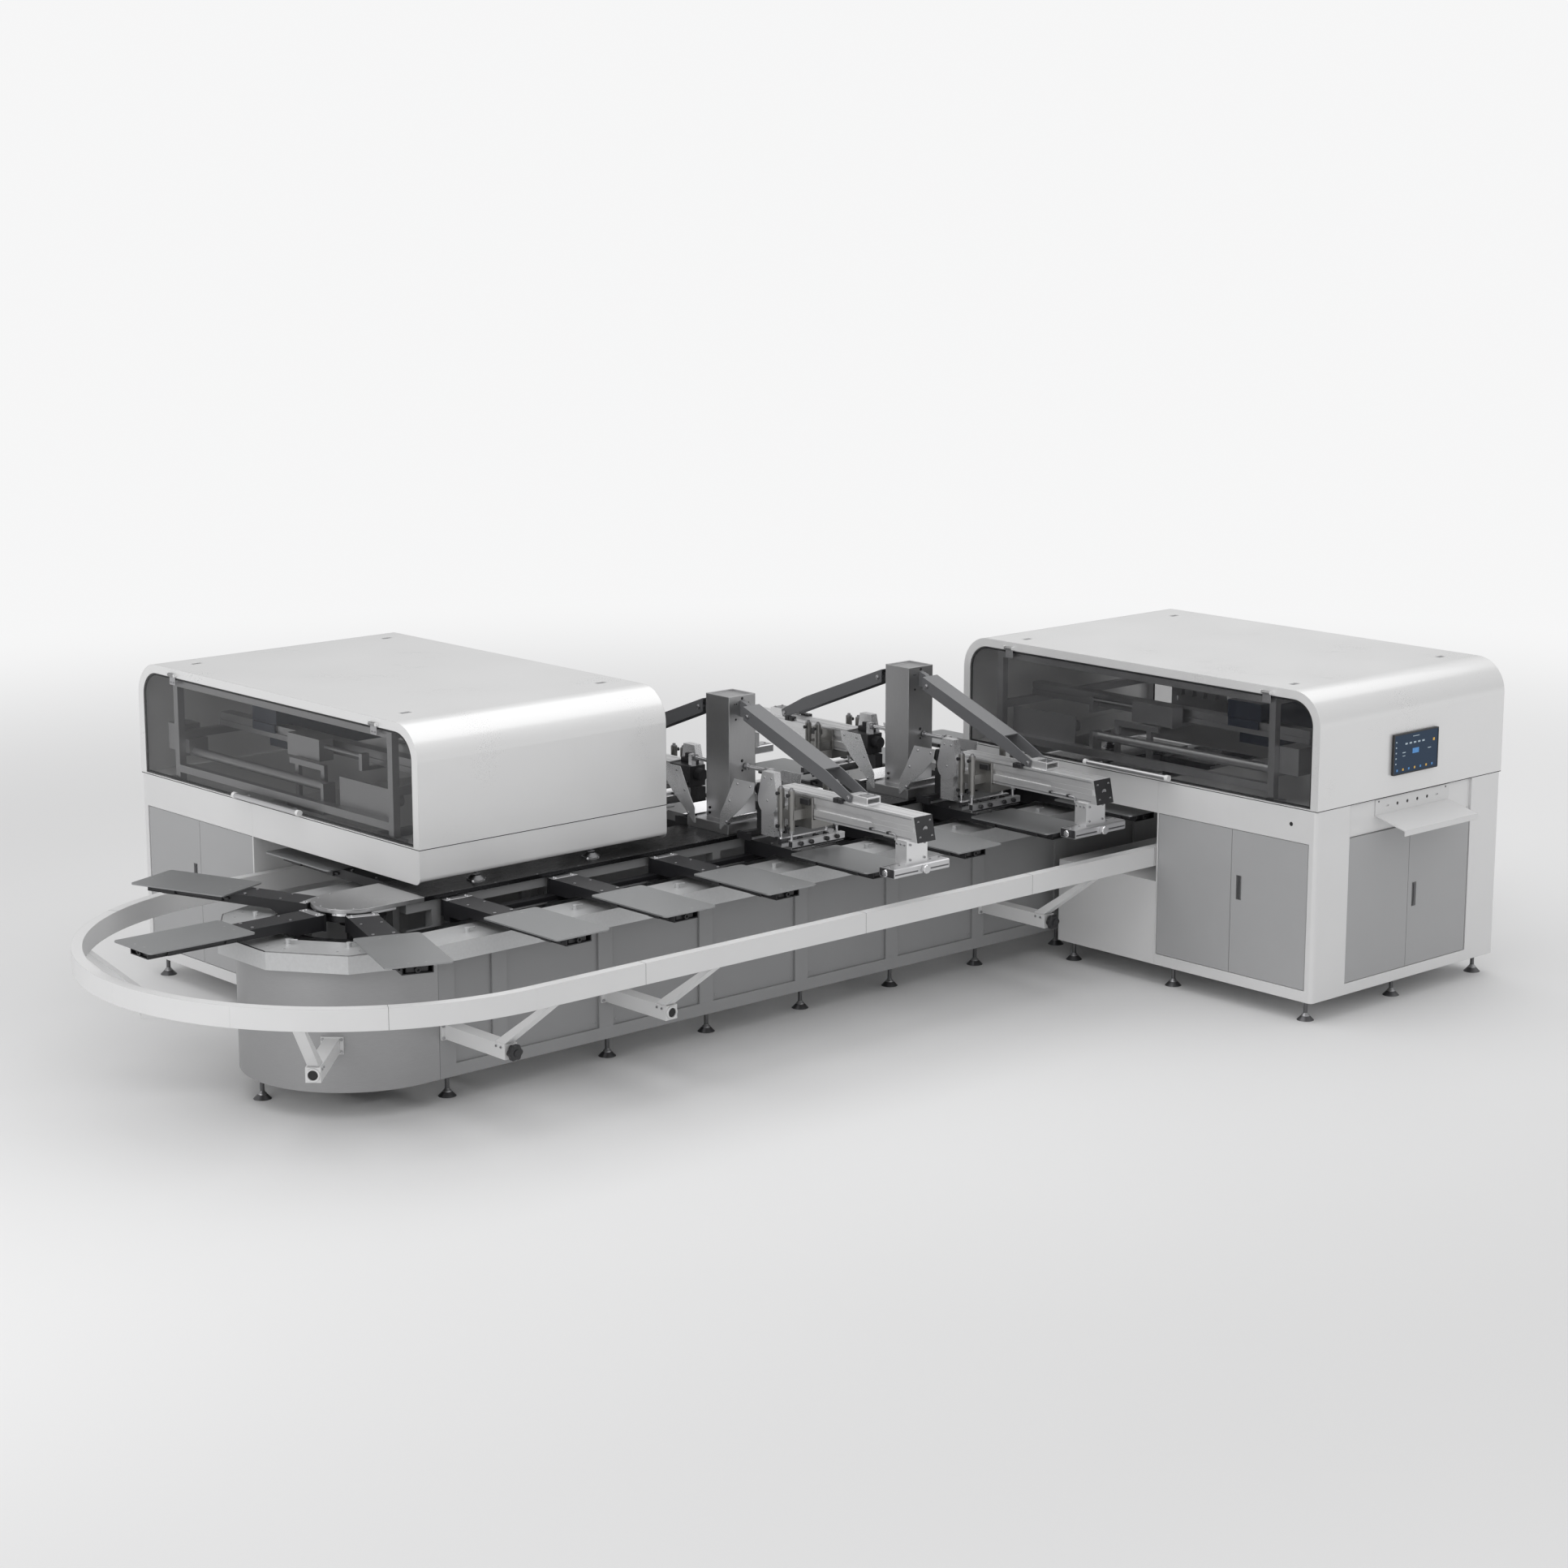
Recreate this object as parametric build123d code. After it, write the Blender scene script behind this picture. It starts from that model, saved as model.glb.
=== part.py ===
from build123d import *
import os
from math import cos, hypot, radians, sin

# Oval screen printing carousel with two digital print modules.
# X runs along the oval, -Y is the operator side, +Z is up, the floor is z = 0.
# The machine repeats itself under a half turn about Z, so most groups are made once and turned.

# ---- oval conveyor ----
pitch = 727.0                  # distance between two pallets along the chain
straight_pallets = 9           # pallets on each straight run
end_pallets = 3                # pallets around each end
end_x = (straight_pallets - 1) / 2 * pitch + 519.0  # centre of each round end
end_step = 70.0                # degrees between two pallets on the round end
pallet_width = 358.0
pallet_length = 632.0
pallet_thick = 8.0
pallet_top = 1006.0
pallet_inner = 710.0           # inner edge of a pallet, from the centre line
pallet_corner = 22.0
arm_width = 166.0
arm_inner = 219.0              # inner end of an arm, from the centre line
arm_root_height = 84.0
arm_tip_height = 50.0
arm_wall = 6.0
arm_inset = 44.0               # outer end of an arm inside the pallet's edge
bracket_thick = 10.0
chain_y = 235.0
chain_width = 55.0

# ---- deck, masts and base ----
deck_top = 1027.0
deck_thick = 24.0
deck_half_width = 212.0
cap_length = 330.0             # straight part of the satin end caps
base_half_width = 615.0
base_end_x = end_x - 117.0     # where the flat sides meet the round casings
base_bottom = 145.0
casing_wall = 4.0
post_width = 100.0
post_depth = 60.0
sill_height = 70.0
panel_recess = 14.0
panel_thick = 3.0
cross_step = pitch * 11 / 8      # distance between the base's cross members
gutter_top = 912.0
gutter_half_width = 728.0
gutter_inner = 460.0
gutter_skirt = 100.0
gutter_sheet = 4.0
track_half_width = 330.0
track_width = 30.0
track_top = 900.0
track_height = 40.0
shaft_radius = 25.0
run_clearance = 0.05           # radial gap of a pin that turns in its hole

mast_x = pitch                 # each mast stands on a pallet pitch
mast_size = 203.0
mast_top = 1818.0
plinth_size = 364.0
plinth_top = 1085.0

# ---- outer guard rail ----
rail_half_width = 1525.0
rail_end_x = end_x - 65.0
rail_top = 842.0
rail_height = 114.0
rail_thick = 60.0
rail_arm_size = 80.0
rail_arm_z = 405.0
rail_arm_reach = 1147.0
rail_arm_places = (66.0 - base_end_x, 20.0 - 3 * pitch, pitch + 61.0)
brace_width = 60.0

# ---- print heads ----
beam_width = 136.0
beam_bottom = 1208.0
beam_top = 1348.0
beam_inner = 480.0
beam_outer = 1600.0
beam_rake = 30.0               # how far the raked end leans out at its foot
groove_depth = 10.0
groove_height = 32.0
groove_z = 1278.0
slide_gap = 0.5                # gap between a sliding runner and its groove
carriage_inner = 600.0
carriage_length = 190.0
flood_row = 633.0
squeegee_row = 721.0
cylinder_x = 175.0
cylinder_radius = 20.0
piston_radius = 8.0
blade_half = 203.0
clevis_half = 53.0
strut_half = 62.0

# ---- print modules ----
module_x0 = 1298.0
module_x1 = 3037.0
module_y0 = -2731.0
module_y1 = 92.0
hood_top = 1929.0
seam = 1250.0
hood_radius = 200.0
hood_border = 53.0
hood_sheet = 6.0
tray_bottom = 1054.0
cabinet_y1 = -1535.0           # inner face of a cabinet
cabinet_bottom = 123.0
cabinet_wall = 30.0
cabinet_edge = 26.0
low_box_top = 634.0
low_box_y1 = -750.0
door_bottom = 190.0
door_top = 1054.0
door_thick = 20.0
door_gap = 2.0
face_split = -2111.0           # where the two leaves of a face door meet
side_x0 = 1600.0
side_x1 = 2750.0
side_split = 2169.0
handle_height = 143.0
window_thick = 8.0
hinge_pin = 5.0
foot_radius = 50.0


def box(x0, x1, y0, y1, z0, z1):
    return Pos((x0 + x1) / 2, (y0 + y1) / 2, (z0 + z1) / 2) * Box(abs(x1 - x0), abs(y1 - y0), abs(z1 - z0))


def rod(x, y, z0, z1, radius):
    return Pos(x, y, (z0 + z1) / 2) * Cylinder(radius, z1 - z0)


def rod_x(x0, x1, y, z, radius):
    return Pos((x0 + x1) / 2, y, z) * Rot(0, 90, 0) * Cylinder(radius, x1 - x0)


def rod_y(x, y0, y1, z, radius):
    return Pos(x, (y0 + y1) / 2, z) * Rot(90, 0, 0) * Cylinder(radius, y1 - y0)


def slab_yz(points, x0, x1):
    """A flat outline in Y and Z, carried from x0 to x1."""
    face = Plane.YZ * make_face(Polyline(*points, close=True))
    return Pos(x0, 0, 0) * extrude(face, x1 - x0, dir=(1, 0, 0))


def slab_xy(points, z0, z1):
    """A flat outline in X and Y, carried from z0 to z1."""
    return Pos(0, 0, z0) * extrude(make_face(Polyline(*points, close=True)), z1 - z0, dir=(0, 0, 1))


def solids_of(items):
    found = []
    for item in items:
        found.extend(item.solids())
    return found


def turned(items):
    """The same pieces after half a turn about Z."""
    return [Rot(0, 0, 180) * item for item in solids_of(items)]


def with_turned(items):
    return solids_of(items) + turned(items)


def mirrored(items):
    """The same pieces mirrored left to right about the middle of the right module."""
    plane = Plane.YZ.offset((module_x0 + module_x1) / 2)
    return [mirror(item, about=plane) for item in solids_of(items)]


def save(name, items):
    export_step(Compound(solids_of(items)), f"parts/{name}.step")


# ---------------------------------------------------------------- conveyor

def pallet_plate():
    """One pallet pointing to +Y from the centre line."""
    half = pallet_width / 2
    plate = box(-half, half, pallet_inner, pallet_inner + pallet_length, pallet_top - pallet_thick, pallet_top)
    return fillet(plate.edges().filter_by(Axis.Z), pallet_corner)


def pallet_arm():
    """Channel arm under one pallet, open at its outer end, with the plate on its inner end."""
    top = pallet_top - pallet_thick
    root = top - arm_root_height
    y0 = arm_inner + bracket_thick
    y1 = pallet_inner + pallet_length - arm_inset
    step = gutter_inner - 50.0
    rise = gutter_top + 32.0
    half = arm_width / 2
    outline = [(y0, top), (y1, top), (y1, top - arm_tip_height), (step + 60.0, rise), (step, root), (y0, root)]
    arm = slab_yz(outline, -half, half)
    hollow = [(y0 + 40.0, top - arm_wall), (y1 + 1.0, top - arm_wall), (y1 + 1.0, top - arm_tip_height + arm_wall),
              (step + 60.0, rise + arm_wall), (step, root + arm_wall), (y0 + 40.0, root + arm_wall)]
    arm -= slab_yz(hollow, -half + arm_wall, half - arm_wall)
    plate = box(-half - 6.0, half + 6.0, arm_inner, y0, root - 4.0, top + 4.0)
    return [arm, plate]


def straight_places(side):
    half = (straight_pallets - 1) / 2
    turn = 0 if side > 0 else 180
    return [Pos((i - half) * pitch, 0, 0) * Rot(0, 0, turn) for i in range(straight_pallets)]


def end_places(end):
    """Places around one round end: +1 is the right end, -1 the left."""
    half = (end_pallets - 1) / 2
    return [Pos(end * end_x, 0, 0) * Rot(0, 0, -90.0 * end + (i - half) * end_step) for i in range(end_pallets)]


def chain_run(side):
    """Flat drive chain that ties the arms of one straight run together."""
    reach = (straight_pallets - 1) / 2 * pitch + arm_width / 2
    top = pallet_top - pallet_thick - arm_root_height
    return box(-reach, reach, side * chain_y, side * (chain_y + chain_width), top - 26.0, top)


def turn_wheel(end):
    """Wheel under an end cap, with a tongue out to each of its arms."""
    wheel = rod(0, 0, 950, 980, 190) + rod(0, 0, 900, 950, 62)
    for i in range(end_pallets):
        angle = -90.0 * end + (i - (end_pallets - 1) / 2) * end_step
        wheel += Rot(0, 0, angle) * box(-50, 50, 150, arm_inner, 950, 980)
    wheel -= rod(0, 0, 890, 990, shaft_radius + run_clearance)
    return Pos(end * end_x, 0, 0) * wheel


def conveyor():
    groups = {"near": (straight_places(-1), chain_run(-1)), "far": (straight_places(1), chain_run(1)),
              "left_end": (end_places(-1), turn_wheel(-1)), "right_end": (end_places(1), turn_wheel(1))}
    for name, (places, link) in groups.items():
        arms = [link]
        for place in places:
            arms.extend(place * piece for piece in pallet_arm())
        save(f"{name}_arms", arms)
        save(f"{name}_pallets", [place * pallet_plate() for place in places])


# ---------------------------------------------------------------- base

def near_posts():
    """Left and right edge of every post along the near side."""
    half = (straight_pallets - 1) / 2
    edges = [(-base_end_x, -base_end_x + 107.0)]
    for i in range(straight_pallets):
        x = (i - half) * pitch
        edges.append((x - post_width / 2, x + post_width / 2))
    edges.append((base_end_x - 107.0, base_end_x))
    return edges


def base_frame():
    under = gutter_top - gutter_sheet
    y0 = -base_half_width
    side = [box(a, b, y0, y0 + post_depth, base_bottom + sill_height, under - 60.0) for a, b in near_posts()]
    side.append(box(-base_end_x, base_end_x, y0, y0 + post_depth, base_bottom, base_bottom + sill_height))
    side.append(box(-base_end_x, base_end_x, y0, y0 + post_depth, under - 60.0, under))
    frame = with_turned(side)
    beam_y = deck_half_width - 60.0
    deck_under = deck_top - deck_thick
    inside = base_half_width - post_depth
    for i in range(-3, 4):
        x = i * cross_step
        frame.append(box(x - 30, x + 30, -inside, inside, base_bottom, base_bottom + 60.0))
        for y in (-beam_y, beam_y):
            frame.append(box(x - 30, x + 30, y - 30, y + 30, base_bottom + 60.0, deck_under - 60.0))
    for y in (-beam_y, beam_y):
        frame.append(box(-end_x + 230.0, end_x - 230.0, y - 30, y + 30, deck_under - 60.0, deck_under))
    save("base_frame", frame)


def end_casings():
    """Smooth U-shaped casing around each end of the base."""
    top = gutter_top - gutter_sheet
    outer = box(base_end_x, end_x, -base_half_width, base_half_width, base_bottom, top)
    outer += rod(end_x, 0, base_bottom, top, base_half_width)
    inside = base_half_width - casing_wall
    hollow = box(base_end_x - 1, end_x, -inside, inside, base_bottom - 1, top + 1)
    hollow += rod(end_x, 0, base_bottom - 1, top + 1, inside)
    shell = outer - hollow
    shell -= box(0, base_end_x, -base_half_width, base_half_width, base_bottom - 2, top + 2)
    save("end_casings", with_turned([shell]))


def base_panels():
    """Recessed panels between the posts."""
    panels = []
    y = -base_half_width + panel_recess
    posts = near_posts()
    for left, right in zip(posts, posts[1:]):
        if right[0] - left[1] > 30.0:
            panels.append(box(left[1], right[0], y, y + panel_thick, base_bottom + sill_height,
                              gutter_top - gutter_sheet - 60.0))
    save("base_panels", with_turned(panels))


def gutter_ring(radius):
    """Corners of the gutter around the right end, which turns in five flats."""
    return [(end_x + radius * sin(radians(36.0 * i)), radius * cos(radians(36.0 * i))) for i in range(6)]


def gutter_plates():
    """Flat splash gutter around the oval, each plate with a skirt folded down on its outer side."""
    ends = []
    outer = gutter_ring(gutter_half_width)
    inner = gutter_ring(gutter_inner)
    z0 = gutter_top - gutter_sheet
    for i in range(5):
        a, b = outer[i], outer[i + 1]
        sheet = slab_xy([a, b, inner[i + 1], inner[i]], z0, gutter_top)
        dx, dy = b[0] - a[0], b[1] - a[1]
        span = hypot(dx, dy)
        nx, ny = dy / span * gutter_sheet, -dx / span * gutter_sheet
        fold = [a, b, (b[0] + nx, b[1] + ny), (a[0] + nx, a[1] + ny)]
        ends.append(sheet)
        ends.append(slab_xy(fold, gutter_top - gutter_skirt, gutter_top))
    plates = with_turned(ends)
    length = 2 * end_x / straight_pallets
    for side in (-1, 1):
        y0, y1 = side * gutter_inner, side * gutter_half_width
        for i in range(straight_pallets):
            a = -end_x + i * length + 0.5
            b = a + length - 1.0
            plates.append(box(a, b, y0, y1, z0, gutter_top))
            plates.append(box(a, b, y1, y1 + side * gutter_sheet, gutter_top - gutter_skirt, gutter_top))
    return plates


def gutter_clamp():
    """Small cam clamp that holds a gutter plate: a round body and a flat lever."""
    body = rod(0, 0, gutter_top, gutter_top + 24.0, 14.0)
    return body + box(0, 52, -4, 4, gutter_top + 16.0, gutter_top + 22.0)


def gutter_clamps():
    half = (straight_pallets - 1) / 2
    clamps = [Pos((i - half) * pitch - 197.0, -600.0, 0) * gutter_clamp() for i in range(straight_pallets)]
    for angle in (54.0, 18.0, -18.0, -54.0):
        place = Pos(end_x + 540.0 * cos(radians(angle)), 540.0 * sin(radians(angle)), 0)
        clamps.append(place * Rot(0, 0, angle + 120.0) * gutter_clamp())
    return with_turned(clamps)


def half_ring(centre_x, inner, outer, z0, z1, steps):
    """Ring sectors around the right end, one solid each."""
    ring = rod(centre_x, 0, z0, z1, outer) - rod(centre_x, 0, z0 - 1, z1 + 1, inner)
    sectors = []
    reach = 2 * outer
    for i in range(steps):
        a0 = radians(-90.0 + i * 180.0 / steps)
        a1 = radians(-90.0 + (i + 1) * 180.0 / steps)
        wedge = slab_xy([(centre_x, 0), (centre_x + reach * cos(a0), reach * sin(a0)),
                         (centre_x + reach * cos(a1), reach * sin(a1))], z0, z1)
        sectors.append(ring & wedge)
    return sectors


def guide_track():
    """Rails beside the deck and around each end that carry the arms, on short stands."""
    y0 = track_half_width
    y1 = y0 + track_width
    low = track_top - track_height
    pieces = [box(-end_x, end_x, y0, y1, low, track_top)]
    pieces.extend(half_ring(end_x, y0, y1, low, track_top, 6))
    for i in range(-3, 4):
        x = i * cross_step
        pieces.append(box(x - 30.0, x + 30.0, y0, y1, base_bottom + 60.0, low))
    save("guide_track", with_turned(pieces))


def index_drives():
    """Gear motor under each turn wheel, with the shaft the wheel runs on and a floor plate."""
    inside = base_half_width - casing_wall
    drive = rod(end_x, 0, 690.0, 984.0, shaft_radius)
    drive += box(end_x - 110, end_x + 110, -110, 110, 520.0, 690.0)
    drive += rod(end_x, 0, 230.0, 520.0, 95.0)
    drive += box(end_x - 120, end_x + 120, -120, 120, base_bottom + 16.0, 230.0)
    plate = box(end_x - 115, end_x, -inside, inside, base_bottom, base_bottom + 16.0)
    plate += box(end_x - 115, end_x + 160, -300, 300, base_bottom, base_bottom + 16.0)
    save("index_drives", with_turned([drive, plate]))


def deck():
    """Long deck plate between two satin end caps."""
    z0 = deck_top - deck_thick
    seam_x = end_x - cap_length
    save("deck_plate", [box(-seam_x, seam_x, -deck_half_width, deck_half_width, z0, deck_top)])
    cap = box(seam_x, end_x, -deck_half_width, deck_half_width, z0, deck_top)
    cap += rod(end_x, 0, z0, deck_top, deck_half_width)
    save("end_caps", with_turned([cap]))


def masts():
    """Square mast with a recessed top, on its plinth."""
    half = mast_size / 2
    post = box(mast_x - half, mast_x + half, -half, half, plinth_top, mast_top)
    post -= box(mast_x - half + 10, mast_x + half - 10, -half + 10, half - 10, mast_top - 12.0, mast_top + 1.0)
    base = plinth_size / 2
    plinth = box(mast_x - base, mast_x + base, -base, base, deck_top, plinth_top)
    save("masts", with_turned([post, plinth]))


def foot(x, y, top):
    """Levelling foot: a cone-shaped pad and a stem up to the frame."""
    pad = Pos(x, y, 13) * Cone(foot_radius, foot_radius * 0.5, 26)
    return pad + rod(x, y, 20, top, 12)


def levelling_feet():
    feet = []
    y = -488.0
    places = [134.0 - base_end_x] + [k * pitch + 105.0 for k in range(-3, 4)]
    for x in places:
        feet.append(foot(x, y, base_bottom))
        feet.append(box(x - 44, x + 44, -base_half_width + post_depth, y + 55, base_bottom, base_bottom + 30.0))
    for angle in (-75.0, -14.5):
        turn = Pos(end_x, 0, 0) * Rot(0, 0, angle)
        feet.append(turn * foot(525.0, 0, base_bottom))
        feet.append(turn * box(470.0, 608.9, -50, 50, base_bottom, base_bottom + 30.0))
    save("levelling_feet", with_turned(feet + module_feet()))


# ---------------------------------------------------------------- outer rail

def outer_rail():
    """Closed guard rail around the oval, in jointed lengths."""
    y0 = rail_half_width - rail_thick
    low = rail_top - rail_height
    breaks = [-rail_end_x, -2650.0, -1080.0, 240.0, 1290.0, rail_end_x]
    pieces = []
    for a, b in zip(breaks, breaks[1:]):
        pieces.append(box(a + 0.4, b - 0.4, -rail_half_width, -y0, low, rail_top))
        if a > -rail_end_x:
            pieces.append(box(a - 36.0, a + 36.0, -y0, -y0 + 5.0, low + 8.0, rail_top - 8.0))
    pieces.extend(half_ring(rail_end_x, y0, rail_half_width, low, rail_top, 6))
    save("outer_rail", with_turned(pieces))


def rail_arm(rail_reach):
    """Arm pointing to -Y from the base's face: root plate, square tube, raked brace up to the rail."""
    root = base_half_width
    half = rail_arm_size / 2
    plate = box(-60, 60, -root - 12.0, -root, rail_arm_z - 46.0, rail_arm_z + 46.0)
    tube = box(-half, half, -rail_arm_reach, -root - 12.0, rail_arm_z - half, rail_arm_z + half)
    low = rail_top - rail_height
    top = rail_arm_z + half
    wide = brace_width / 2
    reach = -rail_reach
    outline = [(-1050.0, top), (-1132.0, top), (reach + 6.0, low), (reach + rail_thick - 6.0, low)]
    return [plate, tube, slab_yz(outline, -wide, wide)]


def rail_arms():
    arms = []
    for x in rail_arm_places:
        arms.extend(Pos(x, 0, 0) * piece for piece in rail_arm(rail_half_width))
    offset = (end_x - rail_end_x) * cos(radians(45.0))
    reach = rail_half_width - offset
    for angle in (45.0, 135.0):
        arms.extend(Pos(end_x, 0, 0) * Rot(0, 0, angle) * piece for piece in rail_arm(reach))
    save("rail_arms", with_turned(arms))


# ---------------------------------------------------------------- print heads
# A head is drawn around x = 0 and reaches out to -Y from its mast.

def on_heads(items):
    """The same pieces on all four heads."""
    near = []
    for x in (-mast_x, mast_x):
        near.extend(Pos(x, 0, 0) * item for item in solids_of(items))
    return with_turned(near)


def head_beam():
    half = beam_width / 2
    outline = [(-beam_inner, beam_top), (-beam_outer, beam_top), (-beam_outer - beam_rake, beam_bottom),
               (-beam_inner, beam_bottom)]
    beam = slab_yz(outline, -half, half)
    for side in (-1, 1):
        beam -= box(side * (half - groove_depth), side * (half + 1), -beam_outer - 60, -beam_inner + 1,
                    groove_z - groove_height / 2, groove_z + groove_height / 2)
    clevis = box(-clevis_half, clevis_half, -1211, -1052, beam_top, beam_top + 43.0)
    clevis -= box(7 - clevis_half, clevis_half - 7, -1212, -1120, beam_top + 8.0, beam_top + 35.0)
    block = box(-80, 80, -1560, -1470, 1075, beam_bottom)
    return [beam, clevis, block]


def mast_strut():
    """Strut from the mast: a channel open below, whose sides run on as a fork around the clevis."""
    face = -mast_size / 2
    web = slab_yz([(-181, 1770), (-870, 1506), (-868, 1499), (-181, 1763)], -strut_half, strut_half)
    side_plate = [(-181, 1770), (-870, 1506), (-898, 1494), (-1098, 1392), (-1086, 1350), (-1052, 1350),
                  (-850, 1430), (-181, 1690)]
    strut = web
    for side in (-1, 1):
        strut += slab_yz(side_plate, min(side * strut_half, side * (strut_half - 6.0)),
                         max(side * strut_half, side * (strut_half - 6.0)))
        strut += rod_x(min(side * clevis_half, side * strut_half), max(side * clevis_half, side * strut_half),
                       -1070, 1372, 11)
    tongue = slab_yz([(face, 1790), (-150, 1776), (-186, 1752), (-240, 1728), (-240, 1694), (face, 1694)], -16, 16)
    tongue += rod_x(6 - strut_half, strut_half - 6, -215, 1716, 9)
    return [strut, tongue]


def belt_cover():
    """Flat drop-shaped cover beside the inner end of the beam, and the block under it."""
    half = beam_width / 2
    near = -half - 5.0
    far = -half - 55.0
    cover = slab_yz([(-414, 1435), (-513, 1435), (-539, 1280), (-375, 1280)], far, near)
    cover += rod_x(far, near, -457, 1268, 83)
    joint = box(near, -half, -530, -400, 1222, 1336)
    lower = box(far + 5, near - 5, -510, -400, 1060, 1200)
    return [cover + joint + lower]


def guard_bracket():
    """Folded side plates around the inner end of a head, joined by a raked cross plate."""
    outline = [(-240, 1371), (-415, 1372), (-401, 1308), (-310, 1212), (-218, 1140), (-121, 1053),
               (-110, 1052), (-113, 1143), (-159, 1217)]
    half = plinth_size / 2
    pieces = [slab_yz(outline, -half - 4, -half), slab_yz(outline, half, half + 4)]
    pieces.append(slab_yz([(-162, 1090), (-218, 1140), (-214, 1144), (-158, 1094)], -half, half))
    return pieces


def head_drive():
    """Motor block on the inner end of the beam with the rear frame holder, and the beam's end plate."""
    half = beam_width / 2
    block = box(-60, 60, -beam_inner, -300, 1215, 1340)
    block += box(-30, 30, -330, -262, 1060, 1215)
    reach = half + 82.0
    block += box(-reach, 20 - reach, -330, -222, 1014, 1056)
    block += box(reach - 20, reach, -330, -222, 1014, 1056)
    block += box(-reach, reach, -298, -262, 1030, 1060)
    block += rod_y(0, -300, -248, 1290, 34)
    end = slab_yz([(-beam_outer, beam_top), (-beam_outer - 6, beam_top), (-beam_outer - beam_rake - 6, beam_bottom),
                   (-beam_outer - beam_rake, beam_bottom)], -half, half)
    return [block, end]


def tie_shaft():
    """Bright shaft from the mast to the top of the motor block."""
    face = -mast_size / 2
    shaft = rod_y(28, -315, face, 1395, 12)
    return [shaft + box(12, 44, -330, -300, 1340, 1412)]


def clamp_bar():
    """Frame clamp under the outer end of the beam, with its fine-adjust knob."""
    bar = box(-213, 213, -1600, -1481, 1022, 1075)
    bar = chamfer(bar.edges().filter_by(Axis.X), 6)
    return [bar + rod_y(17, -1628, -1600, 1047, 22)]


def print_carriage():
    """Carriage that runs along the beam and carries four short air cylinders."""
    near = -carriage_inner
    far = near - carriage_length
    half = beam_width / 2
    low = groove_z - groove_height / 2 + slide_gap
    high = groove_z + groove_height / 2 - slide_gap
    inner = half + 4.0
    outer = half + 16.0
    body = box(-outer, outer, far, near, 1150, 1200)
    for side in (-1, 1):
        body += box(side * inner, side * outer, far, near, 1150, 1330)
        body += box(side * (half - groove_depth + 1), side * inner, far + 8, near - 8, low, high)
        body += box(side * outer, side * (cylinder_x + 4), -squeegee_row - 24, -flood_row + 24, 1206, 1262)
        for row in (-flood_row, -squeegee_row):
            body += rod(side * cylinder_x, row, 1132, 1374, cylinder_radius)
    for side in (-1, 1):
        for row in (-flood_row, -squeegee_row):
            body -= rod(side * cylinder_x, row, 1131, 1192, piston_radius + 0.3)
    return [body]


def blade_bar(row, y0, y1, blade_y, blade_half_thick):
    """Holder across the head with its blade and the two piston rods that lift it."""
    bar = box(-blade_half, blade_half, y0, y1, 1052, 1088)
    bar += box(-blade_half + 3, blade_half - 3, blade_y - blade_half_thick, blade_y + blade_half_thick, 1038, 1056)
    for side in (-1, 1):
        bar += box(side * (cylinder_x - 13), side * (cylinder_x + 13), -row - 14, -row + 14, 1072, 1088)
        bar += rod(side * cylinder_x, -row, 1080, 1164, piston_radius)
    return bar


def print_heads():
    save("head_beams", on_heads(head_beam()))
    save("mast_struts", on_heads(mast_strut()))
    save("belt_covers", on_heads(belt_cover()))
    save("guard_brackets", on_heads(guard_bracket()))
    save("head_drives", on_heads(head_drive()))
    save("tie_shafts", on_heads(tie_shaft()))
    save("clamp_bars", on_heads(clamp_bar()))
    squeegee = blade_bar(squeegee_row, -760, -728, -747, 4)
    flood = blade_bar(flood_row, -668, -640, -660, 1.5)
    for prefix, x in (("left", -mast_x), ("right", mast_x)):
        places = {"near": Pos(x, 0, 0), "far": Rot(0, 0, 180) * Pos(-x, 0, 0)}
        for side, place in places.items():
            save(f"{side}_{prefix}_carriage", [place * item for item in print_carriage()])
            save(f"{side}_{prefix}_squeegee", [place * squeegee])
            save(f"{side}_{prefix}_flood_bar", [place * flood])


# ---------------------------------------------------------------- print modules
# The right module is drawn; the left one is the same after half a turn.

def arch(inset, x0, x1):
    """Block with the hood's outline: flat bottom, upright sides, two rounded upper edges."""
    block = box(x0, x1, module_y0 + inset, module_y1 - inset, seam, hood_top - inset)
    edges = block.edges().filter_by(Axis.X).group_by(Axis.Z)[-1]
    return fillet(edges, hood_radius - inset)


def window_outline(gap, x0, x1):
    """Window shape inside the hood's border."""
    edge = hood_border + gap
    block = box(x0, x1, module_y0 + edge, module_y1 - edge, seam + 8.0 + gap, hood_top - edge + 1.0)
    edges = block.edges().filter_by(Axis.X).group_by(Axis.Z)[-1]
    return fillet(edges, hood_radius - edge)


hinge_z = hood_top - 36.0
hinge_out = 11.0
hinge_places = (module_y0 + 392.0, module_y1 - 392.0)
clip_places = (module_x0 + 164.0, module_x1 - 203.0)


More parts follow.
